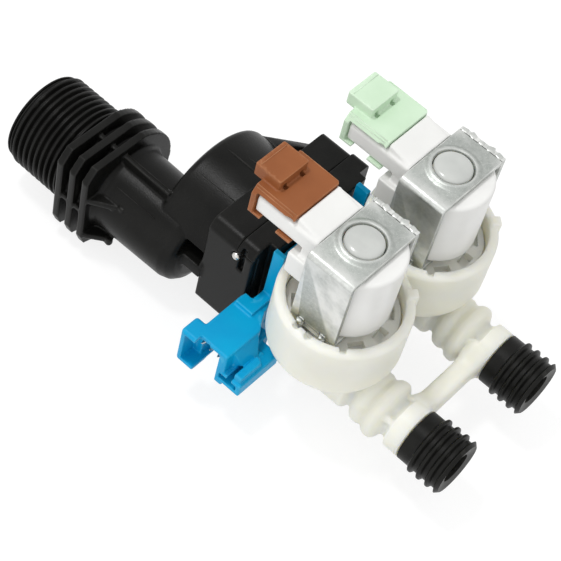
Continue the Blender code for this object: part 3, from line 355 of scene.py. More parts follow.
def merged(target, tools, operation):
    for tool in tools:
        modifier = target.modifiers.new(operation.lower(), "BOOLEAN")
        modifier.operation = operation
        modifier.solver = "EXACT"
        modifier.object = tool
    evaluated(target)
    for tool in tools:
        bpy.data.objects.remove(tool, do_unlink=True)
    return target


def fused(target, *tools):
    return merged(target, tools, "UNION")


def carved(target, *tools):
    return merged(target, tools, "DIFFERENCE")


def common(target, *tools):
    return merged(target, tools, "INTERSECT")


def beside(target, *others):
    """Adds other closed shells to a shape's mesh."""
    bm = bmesh.new()
    bm.from_mesh(target.data)
    for other in others:
        bm.from_mesh(other.data)
        bpy.data.objects.remove(other, do_unlink=True)
    bm.to_mesh(target.data)
    bm.free()
    return target


def softened(obj, voxel, rounds, share):
    """Gives a shape the small radii of a moulding, by a fine remesh that is then smoothed and thinned."""
    remesh = obj.modifiers.new("remesh", "REMESH")
    remesh.mode = "VOXEL"
    remesh.voxel_size = voxel
    smooth = obj.modifiers.new("smooth", "SMOOTH")
    smooth.factor = 0.5
    smooth.iterations = rounds
    if share < 1:
        obj.modifiers.new("thin", "DECIMATE").ratio = share
    return evaluated(obj)


def done(obj, name, material, node, angle=None):
    """Names a shape, takes it to metres, gives it its material and lets it ride in the place of a node."""
    obj.name = obj.data.name = name
    obj.data.transform(Matrix.Scale(0.001, 4))
    obj.data.materials.clear()
    obj.data.materials.append(material)
    obj.data.shade_smooth()
    if angle is not None:
        obj.data.set_sharp_from_angle(angle=math.radians(angle))
    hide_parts(node)
    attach(obj, "valve")


def flange_outline():
    """The panel flange seen along the tube: flat on one side and on top, round elsewhere, as (y, z)."""
    low, high = math.radians(-118), math.asin(FLANGE_TOP / FLANGE_R)
    arc = [high + (low - high) * k / 32 for k in range(33)]
    return [
        (-FLANGE_SIDE, -9.0), (-FLANGE_SIDE, FLANGE_TOP - 3.7), (-FLANGE_SIDE + 3.0, FLANGE_TOP),
        *[(FLANGE_R * math.cos(t), FLANGE_R * math.sin(t)) for t in arc], (-FLANGE_SIDE + 1.2, -12.3),
    ]


inlet = turned(
    [
        (-THREAD_LEN + 0.4, 0), (-THREAD_LEN + 0.4, 11.6), (-0.5, 11.6), (0.6, CORE_R), (10.4, CORE_R),
        (11.4, TUBE_R + 0.2), (13.0, TUBE_R),
        *shifted([(-4.5, -0.4), (-2.2, -1.1), (-0.7, -2.6), (0, -4.6)], TUBE_END, TUBE_R), (TUBE_END, 0),
    ],
    "X", (0, 0),
)
ribs = [prism(flange_outline(), "X", k * RIB_STEP, k * RIB_STEP + RIB_T) for k in range(3)]
ribs.append(box((0.5, DOME_START + 1), (-2.8, -1.4), (0, FLANGE_TOP - 1.3)))
ribs.append(box((0.5, 9.9), (-FLANGE_SIDE + 0.3, 0), (-0.7, 0.7)))
for z, reach, drop in ((5.6, 7.6, 9.6), (-8.4, 5.4, 10.4)):
    fin = [(9.9, 0), (9.9, -14.3), (11.0, -13.9), (10.4 + reach, -drop), (10.4 + reach, 0)]
    ribs.append(hull([(x, y, z + dz) for dz in (-0.8, 0.8) for x, y in fin]))
    ribs.append(rod("Z", z - 1.1, z + 1.1, (10.4 + reach, 0.3 - drop), 1.0, 32))
fused(inlet, *ribs)
dome = turned(
    [
        (DOME_START, 0), *shifted([(0, -1.6), (0.25, -0.9), (0.8, -0.3), (1.6, 0)], DOME_START, DOME_R),
        (BLOCK_X + 0.5, DOME_R), (BLOCK_X + 0.5, 0),
    ],
    "X", (DOME_Y, 0), 160,
)
carved(
    dome,
    box((DOME_START - 1, BLOCK_X + 2), (-30, 60), (-30, BLOCK_Z[0] + 0.1)),
    box((DOME_END - 2, BLOCK_X + 2), (-30, 5.5), (-29, 1.0)),
)


def block_outline(y1):
    (y0, _), (z0, z1) = BLOCK_Y, BLOCK_Z
    return rounded([(y0, z0, 1.5), (y1, z0, 3.0), (y1, z1, 1.8), (y0, z1, 3.4)], 10)


def pin_holes():
    spans = ((BLOCK_Y[0] - 1, 2.0), (25.8, BLOCK_Y[1] + 3))
    return [rod("Y", y0, y1, (PIN_Z, PIN_X), PIN_R + 0.15, 32) for y0, y1 in spans]


lip_low, lip_high = BLOCK_Z[0] + 0.8, PIN_Z + 2.0
block = prism(block_outline(BLOCK_Y[1]), "X", BLOCK_X, SIDE_END)
carved(
    block,
    box((SPLIT_X, SIDE_END + 1), (BLOCK_Y[0] + 2.0, BLOCK_Y[1] + 1), (BLOCK_Z[0] - 1, BLOCK_Z[1] + 1)),
    box((SPLIT_X, SIDE_END + 2), (BLOCK_Y[0] - 1, BLOCK_Y[0] + 3.0), (lip_high, BLOCK_Z[1] + 2)),
    box((SPLIT_X, SIDE_END + 2), (BLOCK_Y[0] - 1, BLOCK_Y[0] + 3.0), (BLOCK_Z[0] - 2, lip_low)),
)
web = [(DOME_START + 1.6, DOME_Y + v, DOME_R - drop) for v, drop in ((18.2, 10.6), (19.3, 12.0), (16.0, 12.6))]
block_corner = ((7.2, 0.1), (5.3, 0.4), (7.2, 9.0), (5.3, 11.0))
web += [(BLOCK_X + 0.5, BLOCK_Y[1] - v, BLOCK_Z[1] - drop) for v, drop in block_corner]
fused(inlet, dome, block, hull(web))
slot_outline = [
    (SIDE_END - 4.1, BLOCK_Y[0] - 1), (SIDE_END - 2.3, BLOCK_Y[0] - 1),
    (SIDE_END - 2.3, BLOCK_Y[0] + 1.5), (SIDE_END - 3.6, BLOCK_Y[0] + 1.5),
]
carved(
    inlet,
    box((DOME_END - 1.2, BLOCK_X - 0.3), (BLOCK_Y[0] - 4, 0.2), (4.3, 8.6)),
    rod("X", -THREAD_LEN - 1, DOME_START + 2.8, (0, 0), BORE_R),
    common(
        rod("X", DOME_START + DOME_WALL, DOME_END - DOME_WALL, (DOME_Y, 0), DOME_R - DOME_WALL),
        box((DOME_START, DOME_END), (-30, 60), (BLOCK_Z[0] + DOME_WALL, 30)),
    ),
    rod("X", DOME_END - 2.8, BLOCK_X + 1.8, (ROTOR[0] + 0.6, ROTOR[1] + 1.4), 9.4),
    rod("X", BLOCK_X + 1.6, SPLIT_X + 1, ROTOR, CAVITY_R),
    *pin_holes(),
    prism(slot_outline, "Z", 14.2, BLOCK_Z[1]),
)
softened(inlet, 0.28, 2, 0.36)
# Fine ridges left where the mould parts meet: along the tube and over the round chamber
ridges = []
for y0, radius, angle, x0, x1 in (
    (0, TUBE_R - 0.1, 129, 12.6, 26.4), (0, TUBE_R - 0.1, -51, 12.6, 26.0),
    (DOME_Y, DOME_R, 113.9, 27.8, BLOCK_X), (DOME_Y, DOME_R, 87.5, 28.6, BLOCK_X),
    (DOME_Y, DOME_R, 81.5, 33.6, 36.2), (DOME_Y, DOME_R, 36, 27.0, BLOCK_X),
):
    c, s = math.cos(math.radians(angle)), math.sin(math.radians(angle))
    wide, tall = (0.3, 0.33) if angle == 87.5 else (0.2, 0.19)
    line = []
    for x, part in ((x0, 0.1), (x0 + 2.0, 1.0), (x1, 1.0)):
        for r, t in ((radius - 0.7, wide * part), (radius + tall * part - 0.03, 0.06 * part)):
            line += [(x, y0 + r * c - v * s, r * s + v * c) for v in (-t, t)]
    ridges.append(hull(line))
for y in (-2.66, -1.54):
    section = ((-0.13, -0.4), (0.13, -0.4), (-0.05, 0.1), (0.05, 0.1))
    ridges.append(raised_line(10.9, DOME_START - 0.4, y, FLANGE_TOP - 1.3, section))
beside(inlet, *ridges)
done(inlet, "inlet_moulding", black_nylon, "inlet_body")

# Hose thread. It belongs to the same moulding: a right-hand pipe thread of 14 turns to the inch with
# round crests, cut back at the mouth so that a hose nut starts easily.
THREAD_ROOT_R, THREAD_BORE_R = 12.06, 10.8
OUT_PART, BACK_PART = 0.9, 0.098
ringed, given, made = new_tree(
    "ringed_sleeve", "GeometryNodeTree",
    {
        "Start": 0.0, "End": 10.0, "Root radius": 6.0, "Crest radius": 7.0, "Bore radius": 5.0, "Mouth radius": 5.0,
        "Mouth depth": 1.0, "Pitch": 2.0, "First ring": 0.0, "Last ring": 10.0, "Flank low": 0.2, "Flank high": 0.8,
        "Helix": 0.0, "Start chamfer": 0.0, "End chamfer": 0.0, "Mouth land": 0.0, "Land radius": 0.0,
        "Centre Y": 0.0, "Around": 128, "Along": 200, "Finish": "Material",
    },
    {"Sleeve": "Geometry"},
)
plus, minus, times = sums(ringed)
grid = add(
    ringed, "GeometryNodeMeshGrid",
    {"Size X": 1.0, "Size Y": 1.0, "Vertices X": given["Around"], "Vertices Y": given["Along"]},
).outputs["Mesh"]
where = add(ringed, "ShaderNodeSeparateXYZ", {0: ringed.nodes.new("GeometryNodeInputPosition").outputs[0]}).outputs
around, share = plus(where[0], 0.5), plus(where[1], 0.5)
# Most of the grid runs along the outside, and what is left of it comes back through the bore
inside = times(calc(ringed, "GREATER_THAN", share, OUT_PART), calc(ringed, "LESS_THAN", share, 0.9999))
out_share = calc(ringed, "DIVIDE", share, OUT_PART, clamp=True)
back_share = calc(ringed, "DIVIDE", minus(share, OUT_PART), BACK_PART, clamp=True)
along = plus(given["Start"], times(minus(given["End"], given["Start"]), minus(out_share, back_share)))
turns = calc(ringed, "DIVIDE", minus(along, given["First ring"]), given["Pitch"])
phase = calc(ringed, "FRACT", minus(turns, times(around, given["Helix"])))
wave = minus(1.0, calc(ringed, "ABSOLUTE", minus(times(phase, 2.0), 1.0)))
tooth = add(
    ringed, "ShaderNodeMapRange", {0: wave, 1: given["Flank low"], 2: given["Flank high"], 3: 0.0, 4: 1.0},
    interpolation_type="SMOOTHSTEP",
).outputs[0]
begins = plus(minus(along, given["First ring"]), 0.25, clamp=True)
ends = plus(minus(given["Last ring"], along), 0.25, clamp=True)
tooth = times(tooth, times(begins, ends))
outer = plus(given["Root radius"], times(tooth, minus(given["Crest radius"], given["Root radius"])))
from_start, to_end = minus(along, given["Start"]), minus(given["End"], along)
land = ramp(ringed, from_start, given["Mouth land"], plus(given["Mouth land"], 0.35), 1.0, 0.0)
outer = calc(ringed, "MAXIMUM", outer, times(land, given["Land radius"]))
for reach, chamfer in ((from_start, given["Start chamfer"]), (to_end, given["End chamfer"])):
    lack = calc(ringed, "MAXIMUM", minus(chamfer, reach), 0.0)
    flat = calc(ringed, "GREATER_THAN", lack, 0.0)
    lowered = calc(ringed, "MINIMUM", outer, minus(given["Crest radius"], lack))
    outer = plus(times(lowered, flat), times(outer, minus(1.0, flat)))
in_mouth = calc(ringed, "LESS_THAN", to_end, given["Mouth depth"])
bore = plus(given["Bore radius"], times(in_mouth, minus(given["Mouth radius"], given["Bore radius"])))
radius = plus(outer, times(inside, minus(bore, outer)))
angle = times(around, 2 * math.pi)
across = plus(given["Centre Y"], times(radius, calc(ringed, "COSINE", angle)))
point = vector_of(ringed, along, across, times(radius, calc(ringed, "SINE", angle)))
sleeve = add(ringed, "GeometryNodeSetPosition", {"Geometry": grid, "Position": point}).outputs[0]
sleeve = add(ringed, "GeometryNodeMergeByDistance", {"Geometry": sleeve, "Distance": 0.002}).outputs[0]


def ended(tree, shape, finish, socket):
    """Ends a geometry tree: real geometry with its material."""
    shape = add(tree, "GeometryNodeRealizeInstances", {"Geometry": shape}).outputs[0]
    tree.links.new(add(tree, "GeometryNodeSetMaterial", {"Geometry": shape, "Material": finish}).outputs[0], socket)


ended(ringed, sleeve, given["Finish"], made["Sleeve"])


def grown(tree, sizes, obj=None):
    """The plain mesh that a geometry tree makes from its sizes, and from an object where it needs one."""
    obj = obj or shape_of(bmesh.new(), "grown")
    modifier = obj.modifiers.new(tree.name, "NODES")
    modifier.node_group = tree
    for item in tree.interface.items_tree:
        if item.in_out == "INPUT" and item.name in sizes:
            modifier[item.identifier] = sizes[item.name]
    evaluated(obj)
    bm = bmesh.new()
    bm.from_mesh(obj.data)
    bmesh.ops.recalc_face_normals(bm, faces=bm.faces)
    bm.to_mesh(obj.data)
    bm.free()
    return obj


thread = grown(
    ringed,
    {
        "Start": -THREAD_LEN, "End": 0.3, "Root radius": THREAD_ROOT_R, "Crest radius": THREAD_R,
        "Bore radius": THREAD_BORE_R, "Mouth radius": THREAD_BORE_R, "Pitch": THREAD_PITCH,
        "First ring": -THREAD_LEN + 0.9, "Last ring": -0.6, "Flank low": 0.12, "Flank high": 0.86,
        "Helix": 1.0, "Start chamfer": 0.9, "Mouth land": 0.5, "Land radius": THREAD_R - 0.75, "Around": 161,
        "Along": 260, "Finish": black_nylon,
    },
)
done(thread, "inlet_thread", black_nylon, "inlet_body", angle=60)

# Turbine cover. A second black moulding that closes the turbine chamber and ends in the port nozzle.
# It is pressed on over a rubber ring and held by two steel pins through the joint.
cover = prism(block_outline(BLOCK_Y[1] + 0.9), "X", SPLIT_X, BLOCK_END)
port = (ROTOR[0], 12.8)
PORT_END, PORT_R, PORT_BORE_R = 67.2, 5.4, 3.9
fused(cover, rod("X", BLOCK_END - 0.5, PORT_END, port, PORT_R))
carved(
    cover,
    rod("X", SPLIT_X - 0.8, BLOCK_END - 2.3, ROTOR, CAVITY_R),
    rod("X", BLOCK_END - 3.3, PORT_END + 1, port, PORT_BORE_R),
    rod("X", BLOCK_END - 2.4, BLOCK_END - 1.0, ROTOR, 0.9, 24),
    box((SPLIT_X - 0.8, SIDE_END + 0.2), (BLOCK_Y[0] - 1, BLOCK_Y[0] + 2.1), (lip_low - 0.1, lip_high + 0.02)),
    prism(slot_outline, "Z", lip_high - 1, BLOCK_Z[1] - 1.3),
    box((SIDE_END + 0.1, BLOCK_END + 1), (BLOCK_Y[0] - 2, BLOCK_Y[0] + 5.6), (BLOCK_Z[0] - 1, BLOCK_Z[1] + 1)),
    box((SIDE_END + 0.2, BLOCK_END + 1), (BLOCK_Y[1] - 3.2, BLOCK_Y[1] + 3), (BLOCK_Z[0] - 1, BLOCK_Z[1] + 1)),
    *pin_holes(),
)
softened(cover, 0.26, 2, 0.5)
done(cover, "turbine_cover_moulding", black_nylon, "turbine_cover")

# Joint pins. Short pieces of bright steel wire with turned ends, driven in from both sides through the
# joint of the chamber and its cover, which they hold together. Their ends stand just proud.


def metal(name, colour, second, rough, spread=0.12, cloud_size=2.0, scuffs=0.3, relief=0.01, edge_wear_and_highlight_colour=None):
    """A metal: patches of two tones, fine real scratches painted lighter as glints, and edges painted lighter for wear
    and highlights.
    """
    material = moulded(
        name, colour, second, rough, spread=spread, cloud_size=cloud_size, grain_size=0.25, relief=relief,
        edge_wear_and_highlight_colour=edge_wear_and_highlight_colour, edge_wear_and_highlight_amount=0.8, scuffs=scuffs, scuff_colour=tuple(min(1, c * 1.6) for c in colour),
    )
    material.node_tree.nodes["Principled BSDF"].inputs["Metallic"].default_value = 1.0
    return material


bright_steel = metal("bright_steel", (0.66, 0.65, 0.62), (0.55, 0.54, 0.52), 0.26)
pin_end = [(0, -PIN_R), (0, -0.75), (0.12, -0.4), (0.35, -0.13), (0.7, 0)]
for name, y0, y1 in (("joint_pin_front", -7.0, 1.6), ("joint_pin_rear", 26.2, 35.9)):
    profile = shifted(pin_end, y0, PIN_R) + shifted([(-a, r) for a, r in reversed(pin_end)], y1, PIN_R)
    pin = turned(profile, "Y", (PIN_Z, PIN_X), 48)
    done(pin, name + "_wire", bright_steel, name, angle=50)

# Sensor housing. A bright blue moulding clipped between the chamber and the valves. It carries the
# magnetic sensor over the rotor, and its two open pockets take the plug of the flow meter.
PLATE = (58.2, 61.9)
SOCKET_TOP, SOCKET_LOW, SOCKET_BACK, SOCKET_FRONT, CUT_START = 8.4, -3.6, -14.5, -23.0, -26.0
VALVE_X, VALVE_Y, REAR_Y = 78.15, -0.3, 31.3
# Edges lighter, for both wear and painted highlights
blue = moulded(
    "blue_plastic", (0.001, 0.365, 0.66), (0.0, 0.32, 0.62), 0.36, spread=0.16, cloud_size=11, grain_size=0.4,
    relief=0.015, edge_wear_and_highlight_colour=(0.08, 0.52, 0.76), edge_wear_and_highlight_amount=0.6, IOR=1.25,
)
housing = box((PLATE[0], PLATE[0] + 1.2), (VALVE_Y - 2.7, REAR_Y - 3.3), (-4.0, 20.0))
fused(
    housing,
    box(PLATE, (VALVE_Y - 2.7, VALVE_Y - 1.3), (-3.0, 25.1)),
    box(PLATE, (REAR_Y - 4.7, REAR_Y - 3.3), (9.0, 25.1)),
    box((55.3, 65.3), (SOCKET_FRONT, BLOCK_Y[0] - 0.4), (SOCKET_LOW, SOCKET_TOP), 0.45),
    box((52.4, 58.2), (-25.0, -19.4), (SOCKET_LOW - 0.4, SOCKET_TOP), 0.8),
    box((PLATE[0], 62.2), (BLOCK_Y[0] - 2, VALVE_Y - 1.5), (-3.0, SOCKET_TOP - 0.2)),
    box((55.9, 61.2), (-10.2, BLOCK_Y[0] - 0.4), (SOCKET_TOP - 1, SOCKET_TOP + 1.0)),
    box((PLATE[0], 61.2), (-10.2, VALVE_Y - 1.8), (SOCKET_TOP - 1, SOCKET_TOP + 1.0)),
    box((62.5, 70.6), (SOCKET_FRONT, -9.0), (-2.3, 1.8), 0.4),
    hull([(65.0, y0, z0) for y0 in (-20.5, -12.0) for z0 in (1.0, 8.0)] + [(68.6, -18.0, 1.0), (68.6, -12.0, 1.0)]),
    box((67.9, 70.0), (-22.4, -14.5), (0.8, 3.9), 0.35),
)
carved(
    housing,
    rod("X", PLATE[0] - 1, PLATE[0] + 2, port, 7.8),
    box((53.8, 60.0), (CUT_START, -20.4), (SOCKET_LOW + 1.0, SOCKET_TOP - 1.3)),
    box((56.2, 60.0), (CUT_START, SOCKET_BACK), (SOCKET_LOW + 1.0, SOCKET_TOP - 1.3)),
    box((56.9, 60.0), (CUT_START, -22.7), (SOCKET_LOW + 1.0, SOCKET_TOP + 1.0)),
    box((57.6, 63.1), (CUT_START, -12.0), (SOCKET_LOW - 1.0, SOCKET_TOP - 1.3)),
    box((64.0, 69.4), (CUT_START, -11.5), (-1.2, 0.8)),
    box((66.4, 67.8), (CUT_START, -15.0), (0.3, 3.0)),
    rod("Z", 2.4, 29.0, (VALVE_X, VALVE_Y), 16.95, 128),
    box((PLATE[0] - 1, PLATE[0] + 0.9), (ROTOR[0] - 4.0, ROTOR[0] + 4.0), (1.0, 4.6)),
    *[box((x - 0.55, x + 0.55), (SOCKET_BACK - 1, SOCKET_BACK + 3.0), (3.65, 4.75)) for x in (56.95, 59.45, 61.95)],
)
softened(housing, 0.22, 2, 0.6)
done(housing, "sensor_housing_moulding", blue, "sensor_housing")

# Valve body. One moulding of natural ivory nylon: two cups on a square gallery, two outlets with a
# waist and a swollen bead, and the bar that ties the outlets together at the front.
CUP_R, CUP_TOP, CUP_BASE, CUP_WALL_R = 16.45, 26.0, 6.2, 13.95
OUT_R, SLEEVE_X, SLEEVE_END, SPIGOT_R = 6.9, 106.8, 119.5, 5.3
ivory = moulded(
    "ivory_nylon", (0.87, 0.86, 0.77), (0.83, 0.82, 0.715), 0.38, spread=0.15, cloud_size=14, grain_size=0.6,
    relief=0.02, IOR=1.4, Subsurface_Weight=0.8, Subsurface_Scale=0.005, Subsurface_Radius=(1.0, 0.9, 0.65),
)
pieces = []
for y in (VALVE_Y, REAR_Y):
    cup = [
        (CUP_BASE, 0),
        *shifted(
            [(0, -5.6), (0.3, -4.2), (0.9, -3.0), (1.7, -2.0), (2.6, -1.2), (4.0, -0.45), (5.6, 0)], CUP_BASE, CUP_R
        ),
        *shifted([(-1.2, 0), (-0.7, -0.15), (-0.25, -0.55), (0, -1.1)], CUP_TOP, CUP_R), (CUP_TOP, 0),
    ]
    pieces.append(turned(cup, "Z", (VALVE_X, y), 128))
    pieces.append(rod("Z", 0, CUP_BASE + 1, (VALVE_X, y), OUT_R + 1.0))
    bead = [
        (-36.85, 0), (-36.85, 5.7), (-36.3, 6.5), (-35.6, OUT_R), (-18.9, OUT_R), (-18.2, 6.6), (-17.6, 5.4),
        (-17.0, 5.15), (-16.2, 5.3), (-15.6, 6.3), (-14.9, 7.05), (-14.0, 7.3), (-13.2, 7.35), (-12.5, 7.05),
        (-11.9, 6.8), (-11.3, 7.1), (-10.6, 7.8), (-9.6, 8.1), (-8.6, 8.05), (-7.9, 7.4), (-7.2, 5.9), (-6.6, 5.25),
        (-5.6, 5.2), (-5.0, 5.9), (-4.5, OUT_R), (-0.25, OUT_R), (-0.25, SPIGOT_R), (10.6, SPIGOT_R), (10.6, 0),
    ]
    pieces.append(turned(shifted(bead, SLEEVE_X, 0), "X", (y, 0)))
bar = rounded([(-2.3, 100.4, 1.0), (2.4, 100.4, 1.6), (2.4, 105.9, 1.6), (-2.3, 105.9, 1.0)], 5)
pieces.append(prism(bar, "Y", VALVE_Y, REAR_Y))
# The bar widens into each outlet, with a slanting web beside it
BAR_X, FLARE_SIDES, FLARE_STEPS, SQUARENESS = 103.15, 32, 8, 0.6
for y, way in ((VALVE_Y, 1), (REAR_Y, -1)):
    bm = bmesh.new()
    rows = []
    for k in range(FLARE_STEPS + 1):
        spread = ((1 + math.cos(math.pi * k / FLARE_STEPS)) / 2) ** 1.3
        wide, tall = 2.78 + 1.0 * spread, 2.42 + 3.2 * spread
        row = []
        for n in range(FLARE_SIDES):
            c, s = math.cos(2 * math.pi * n / FLARE_SIDES), math.sin(2 * math.pi * n / FLARE_SIDES)
            x, z = (math.copysign(size * abs(v) ** SQUARENESS, v) for size, v in ((wide, c), (tall, s)))
            row.append(bm.verts.new((BAR_X + x, y + way * (3.4 + 0.95 * k), z)))
        rows.append(row)
    skinned(bm, rows)
    pieces.append(shape_of(bm))
    pieces.append(placed(box((99.0, 102.3), (-0.8, 0.8), (0, 6.3)), (0, y, 0), 48, "X"))
# A lug on each cup's rim and shallow notches beside it
for y in (VALVE_Y, REAR_Y):
    lug = box((CUP_R - 2.0, CUP_R + 0.55), (-1.3, 1.3), (20.5, CUP_TOP + 0.7))
    pieces.append(placed(lug, (VALVE_X, y, 0), 50))
valve = fused(*pieces)
hollows = []
for y in (VALVE_Y, REAR_Y):
    centre, seat = (VALVE_X, y), [(CUP_BASE + 2.6, 6.1), (CUP_BASE + 2.6, 11.55), (17.4, 11.55), (17.4, 6.1)]
    hollows += [
        rod("Z", 16.4, CUP_TOP + 2, centre, CUP_WALL_R, 120), turned(seat, "Z", centre, 72),
        rod("Z", 15.0, 17.4, centre, 6.7), rod("Z", -2.0, 16.0, centre, 4.2),
        rod("X", VALVE_X - 3.6, SLEEVE_END + 1, (y, 0), 3.9),
    ]
for y in (VALVE_Y, REAR_Y):
    for turn in (-100, -86, -52):
        notch = box((CUP_WALL_R - 0.6, CUP_WALL_R + 1.5), (-0.8, 0.8), (CUP_TOP - 1.2, CUP_TOP + 1))
        hollows.append(placed(notch, (VALVE_X, y, 0), turn))
hollows.append(rod("Y", VALVE_Y + 3, REAR_Y - 3, (12.8, VALVE_X - 9.0), 3.1))
for end, radius in ((VALVE_X - 9.5, 4.6), (67.5, 5.6), (62.6, 7.4)):
    hollows.append(rod("X", 59.0, end, port, radius))
carved(valve, *hollows)
softened(valve, 0.34, 2, 0.4)
done(valve, "valve_body_moulding", ivory, "valve_body")

# Outlet sleeves. Black rubber sleeves pushed over the spigots; their rings grip the inside of a hose
# and a small inner lip holds them over the end.
# Edges lighter, for both wear and painted highlights
rubber = moulded(
    "black_rubber", (0.0058, 0.0058, 0.005), (0.0092, 0.0092, 0.0082), 0.4, spread=0.2, cloud_size=4, grain_size=0.3,
    relief=0.03, edge_wear_and_highlight_colour=(0.04, 0.04, 0.036), edge_wear_and_highlight_amount=0.5, IOR=1.22,
)
for name, y in (("outlet_tip_front", VALVE_Y), ("outlet_tip_rear", REAR_Y)):
    tip = grown(
        ringed,
        {
            "Start": SLEEVE_X, "End": SLEEVE_END, "Root radius": OUT_R, "Crest radius": OUT_R + 0.9,
            "Bore radius": SPIGOT_R + 0.2, "Mouth radius": 4.1, "Mouth depth": 1.7, "Pitch": 2.65,
            "First ring": SLEEVE_X + 2.88, "Last ring": SLEEVE_END + 2.0, "Flank low": 0.3, "Flank high": 0.85,
            "End chamfer": 0.9, "Centre Y": y, "Around": 97, "Along": 230, "Finish": rubber,
        },
    )
    done(tip, name + "_sleeve", rubber, name, angle=50)

# Guide tubes. White nylon domes that seal each cup: a flange with a ring of slots, screwed down on the
# diaphragm, and a closed tube that the steel plunger slides in. Its rounded end shows through the yoke.
GUIDE_R, YOKE_Z, YOKE_H, FLANGE_Z = 4.9, 23.3, 23.6, 18.1
VALVES = (("front", VALVE_Y), ("rear", REAR_Y))
yoke_top = YOKE_Z + YOKE_H
tube_top = yoke_top + 0.7
natural = moulded(
    "white_nylon", (0.93, 0.925, 0.86), (0.89, 0.885, 0.82), 0.3, spread=0.14, cloud_size=8, grain_size=0.5,
    relief=0.012, Subsurface_Weight=0.5, Subsurface_Scale=0.0015, Subsurface_Radius=(1.0, 0.9, 0.75),
)
# A copy of the same white nylon painted greyer, as painted shade on the rounded end over the steel plunger
nylon_painted_shade = moulded(
    "white_nylon_painted_shade", (0.565, 0.58, 0.555), (0.50, 0.515, 0.495), 0.2, spread=0.1, cloud_size=6, relief=0.008
)
slotted, given, made = new_tree(
    "ring_of_slots", "GeometryNodeTree",
    {
        "Body": "Geometry", "Count": 10, "Radius": 10.9, "Length": 3.8, "Width": 2.3, "Depth": 3.0, "Floor": 19.8,
        "Turn": 0.06, "Centre X": 0.0, "Centre Y": 0.0, "Finish": "Material",
    },
    {"Body": "Geometry"},
)
plus, minus, times = sums(slotted)
circle = add(slotted, "GeometryNodeMeshCircle", {"Vertices": given["Count"], "Radius": given["Radius"]}).outputs[0]
slot_size = vector_of(slotted, given["Width"], given["Length"], given["Depth"])
cutter = add(slotted, "GeometryNodeMeshCube", {"Size": slot_size}).outputs[0]
index = slotted.nodes.new("GeometryNodeInputIndex").outputs[0]
spin = vector_of(slotted, 0.0, 0.0, times(index, calc(slotted, "DIVIDE", 2 * math.pi, given["Count"])))
copies = add(
    slotted, "GeometryNodeInstanceOnPoints", {"Points": circle, "Instance": cutter, "Rotation": spin}
).outputs[0]
copies = add(slotted, "GeometryNodeRealizeInstances", {"Geometry": copies}).outputs[0]
lift = vector_of(slotted, given["Centre X"], given["Centre Y"], plus(given["Floor"], times(given["Depth"], 0.5)))
twist = vector_of(slotted, 0.0, 0.0, given["Turn"])
copies = add(
    slotted, "GeometryNodeTransform", {"Geometry": copies, "Translation": lift, "Rotation": twist}
).outputs[0]
opened = add(
    slotted, "GeometryNodeMeshBoolean", {0: given["Body"], 1: copies}, operation="DIFFERENCE", solver="EXACT"
).outputs[0]
ended(slotted, opened, given["Finish"], made["Body"])
wall, bore = CUP_WALL_R, GUIDE_R - 1.0
for end, y in VALVES:
    guide = turned(
        [
            (FLANGE_Z, 8.9), (FLANGE_Z, wall - 0.5), (FLANGE_Z + 0.3, wall - 0.2), (FLANGE_Z + 3.5, wall - 0.2),
            (FLANGE_Z + 3.8, wall - 0.5), (FLANGE_Z + 3.8, GUIDE_R + 1.9), (FLANGE_Z + 4.0, GUIDE_R + 1.6),
            (YOKE_Z - 0.2, GUIDE_R + 1.4), (YOKE_Z - 0.2, GUIDE_R),
            *shifted([(-3.0, 0), (-2.6, -0.15), (-0.62, -0.17)], tube_top, GUIDE_R),
            *[
                (tube_top - 0.62 + 1.09 * math.sin(t), (GUIDE_R - 0.2) * math.cos(t) ** 0.6)
                for t in [k * math.pi / 24 for k in range(1, 12)]
            ],
            (tube_top + 0.47, 0), (tube_top - 1.3, 0), (tube_top - 1.3, GUIDE_R - 1.6), (tube_top - 3.8, bore),
            (FLANGE_Z + 1.4, bore), (FLANGE_Z + 1.0, 8.9),
        ],
        "Z", (VALVE_X, y),
    )
    grown(
        slotted,
        {
            "Count": 10, "Radius": CUP_WALL_R - 3.05, "Length": 3.9, "Width": 2.3, "Depth": 4.0,
            "Floor": FLANGE_Z + 1.7, "Turn": math.radians(3.4), "Centre X": VALVE_X, "Centre Y": y, "Finish": natural,
        },
        guide,
    )
    key = box((12.3, 13.4), (-1.6, 1.6), (21.5, 22.6), 0.25)
    beside(guide, placed(key, (VALVE_X, y, 0), -41))
    done(guide, f"guide_tube_{end}_moulding", natural, f"guide_tube_{end}", angle=38)
    # Faces from the yoke's top upward take the greyer copy: painted shade on the rounded end
    guide.data.materials.append(nylon_painted_shade)
    for face in guide.data.polygons:
        face.material_index = int(face.center.z > (tube_top - 0.8) * 0.001)

# Yokes. Each is two bent plates of zinc-plated steel, locked by staked teeth along the top edge and by
# pressed feet, with a drawn collar round the guide tube. The plating is mottled and its cut edges shine.
YOKE_W, YOKE_D, YOKE_T = 13.0, 23.4, 1.3
half = YOKE_D / 2
yoke_x = (VALVE_X - YOKE_W / 2, VALVE_X + YOKE_W / 2)
# Edges painted near white, for bare cut metal and painted highlights, and scratches painted lighter as glints
zinc = metal(
    "zinc_steel", (0.44, 0.46, 0.437), (0.375, 0.395, 0.375), 0.43, spread=0.34, cloud_size=1.1, scuffs=0.8,
    relief=0.035, edge_wear_and_highlight_colour=(0.85, 0.85, 0.83),
)
TEETH = (
    (-5.3, 0.9, 0.45, 12), (-2.9, 1.0, 0.7, -20), (-0.3, 0.8, 0.4, 8), (2.3, 1.05, 0.75, 25), (4.9, 0.95, 0.6, -12)
)
FEET = ((VALVE_X - 3.3, 0.75), (VALVE_X + 3.1, 0.5))


def stake(x, y, z, wide, reach, turn):
    """A lump of metal hammered flat where a tooth comes through."""
    return placed(box((-wide, wide), (-1.1, reach), (-0.75, 0.62), 0.36), (x, y, z), turn)


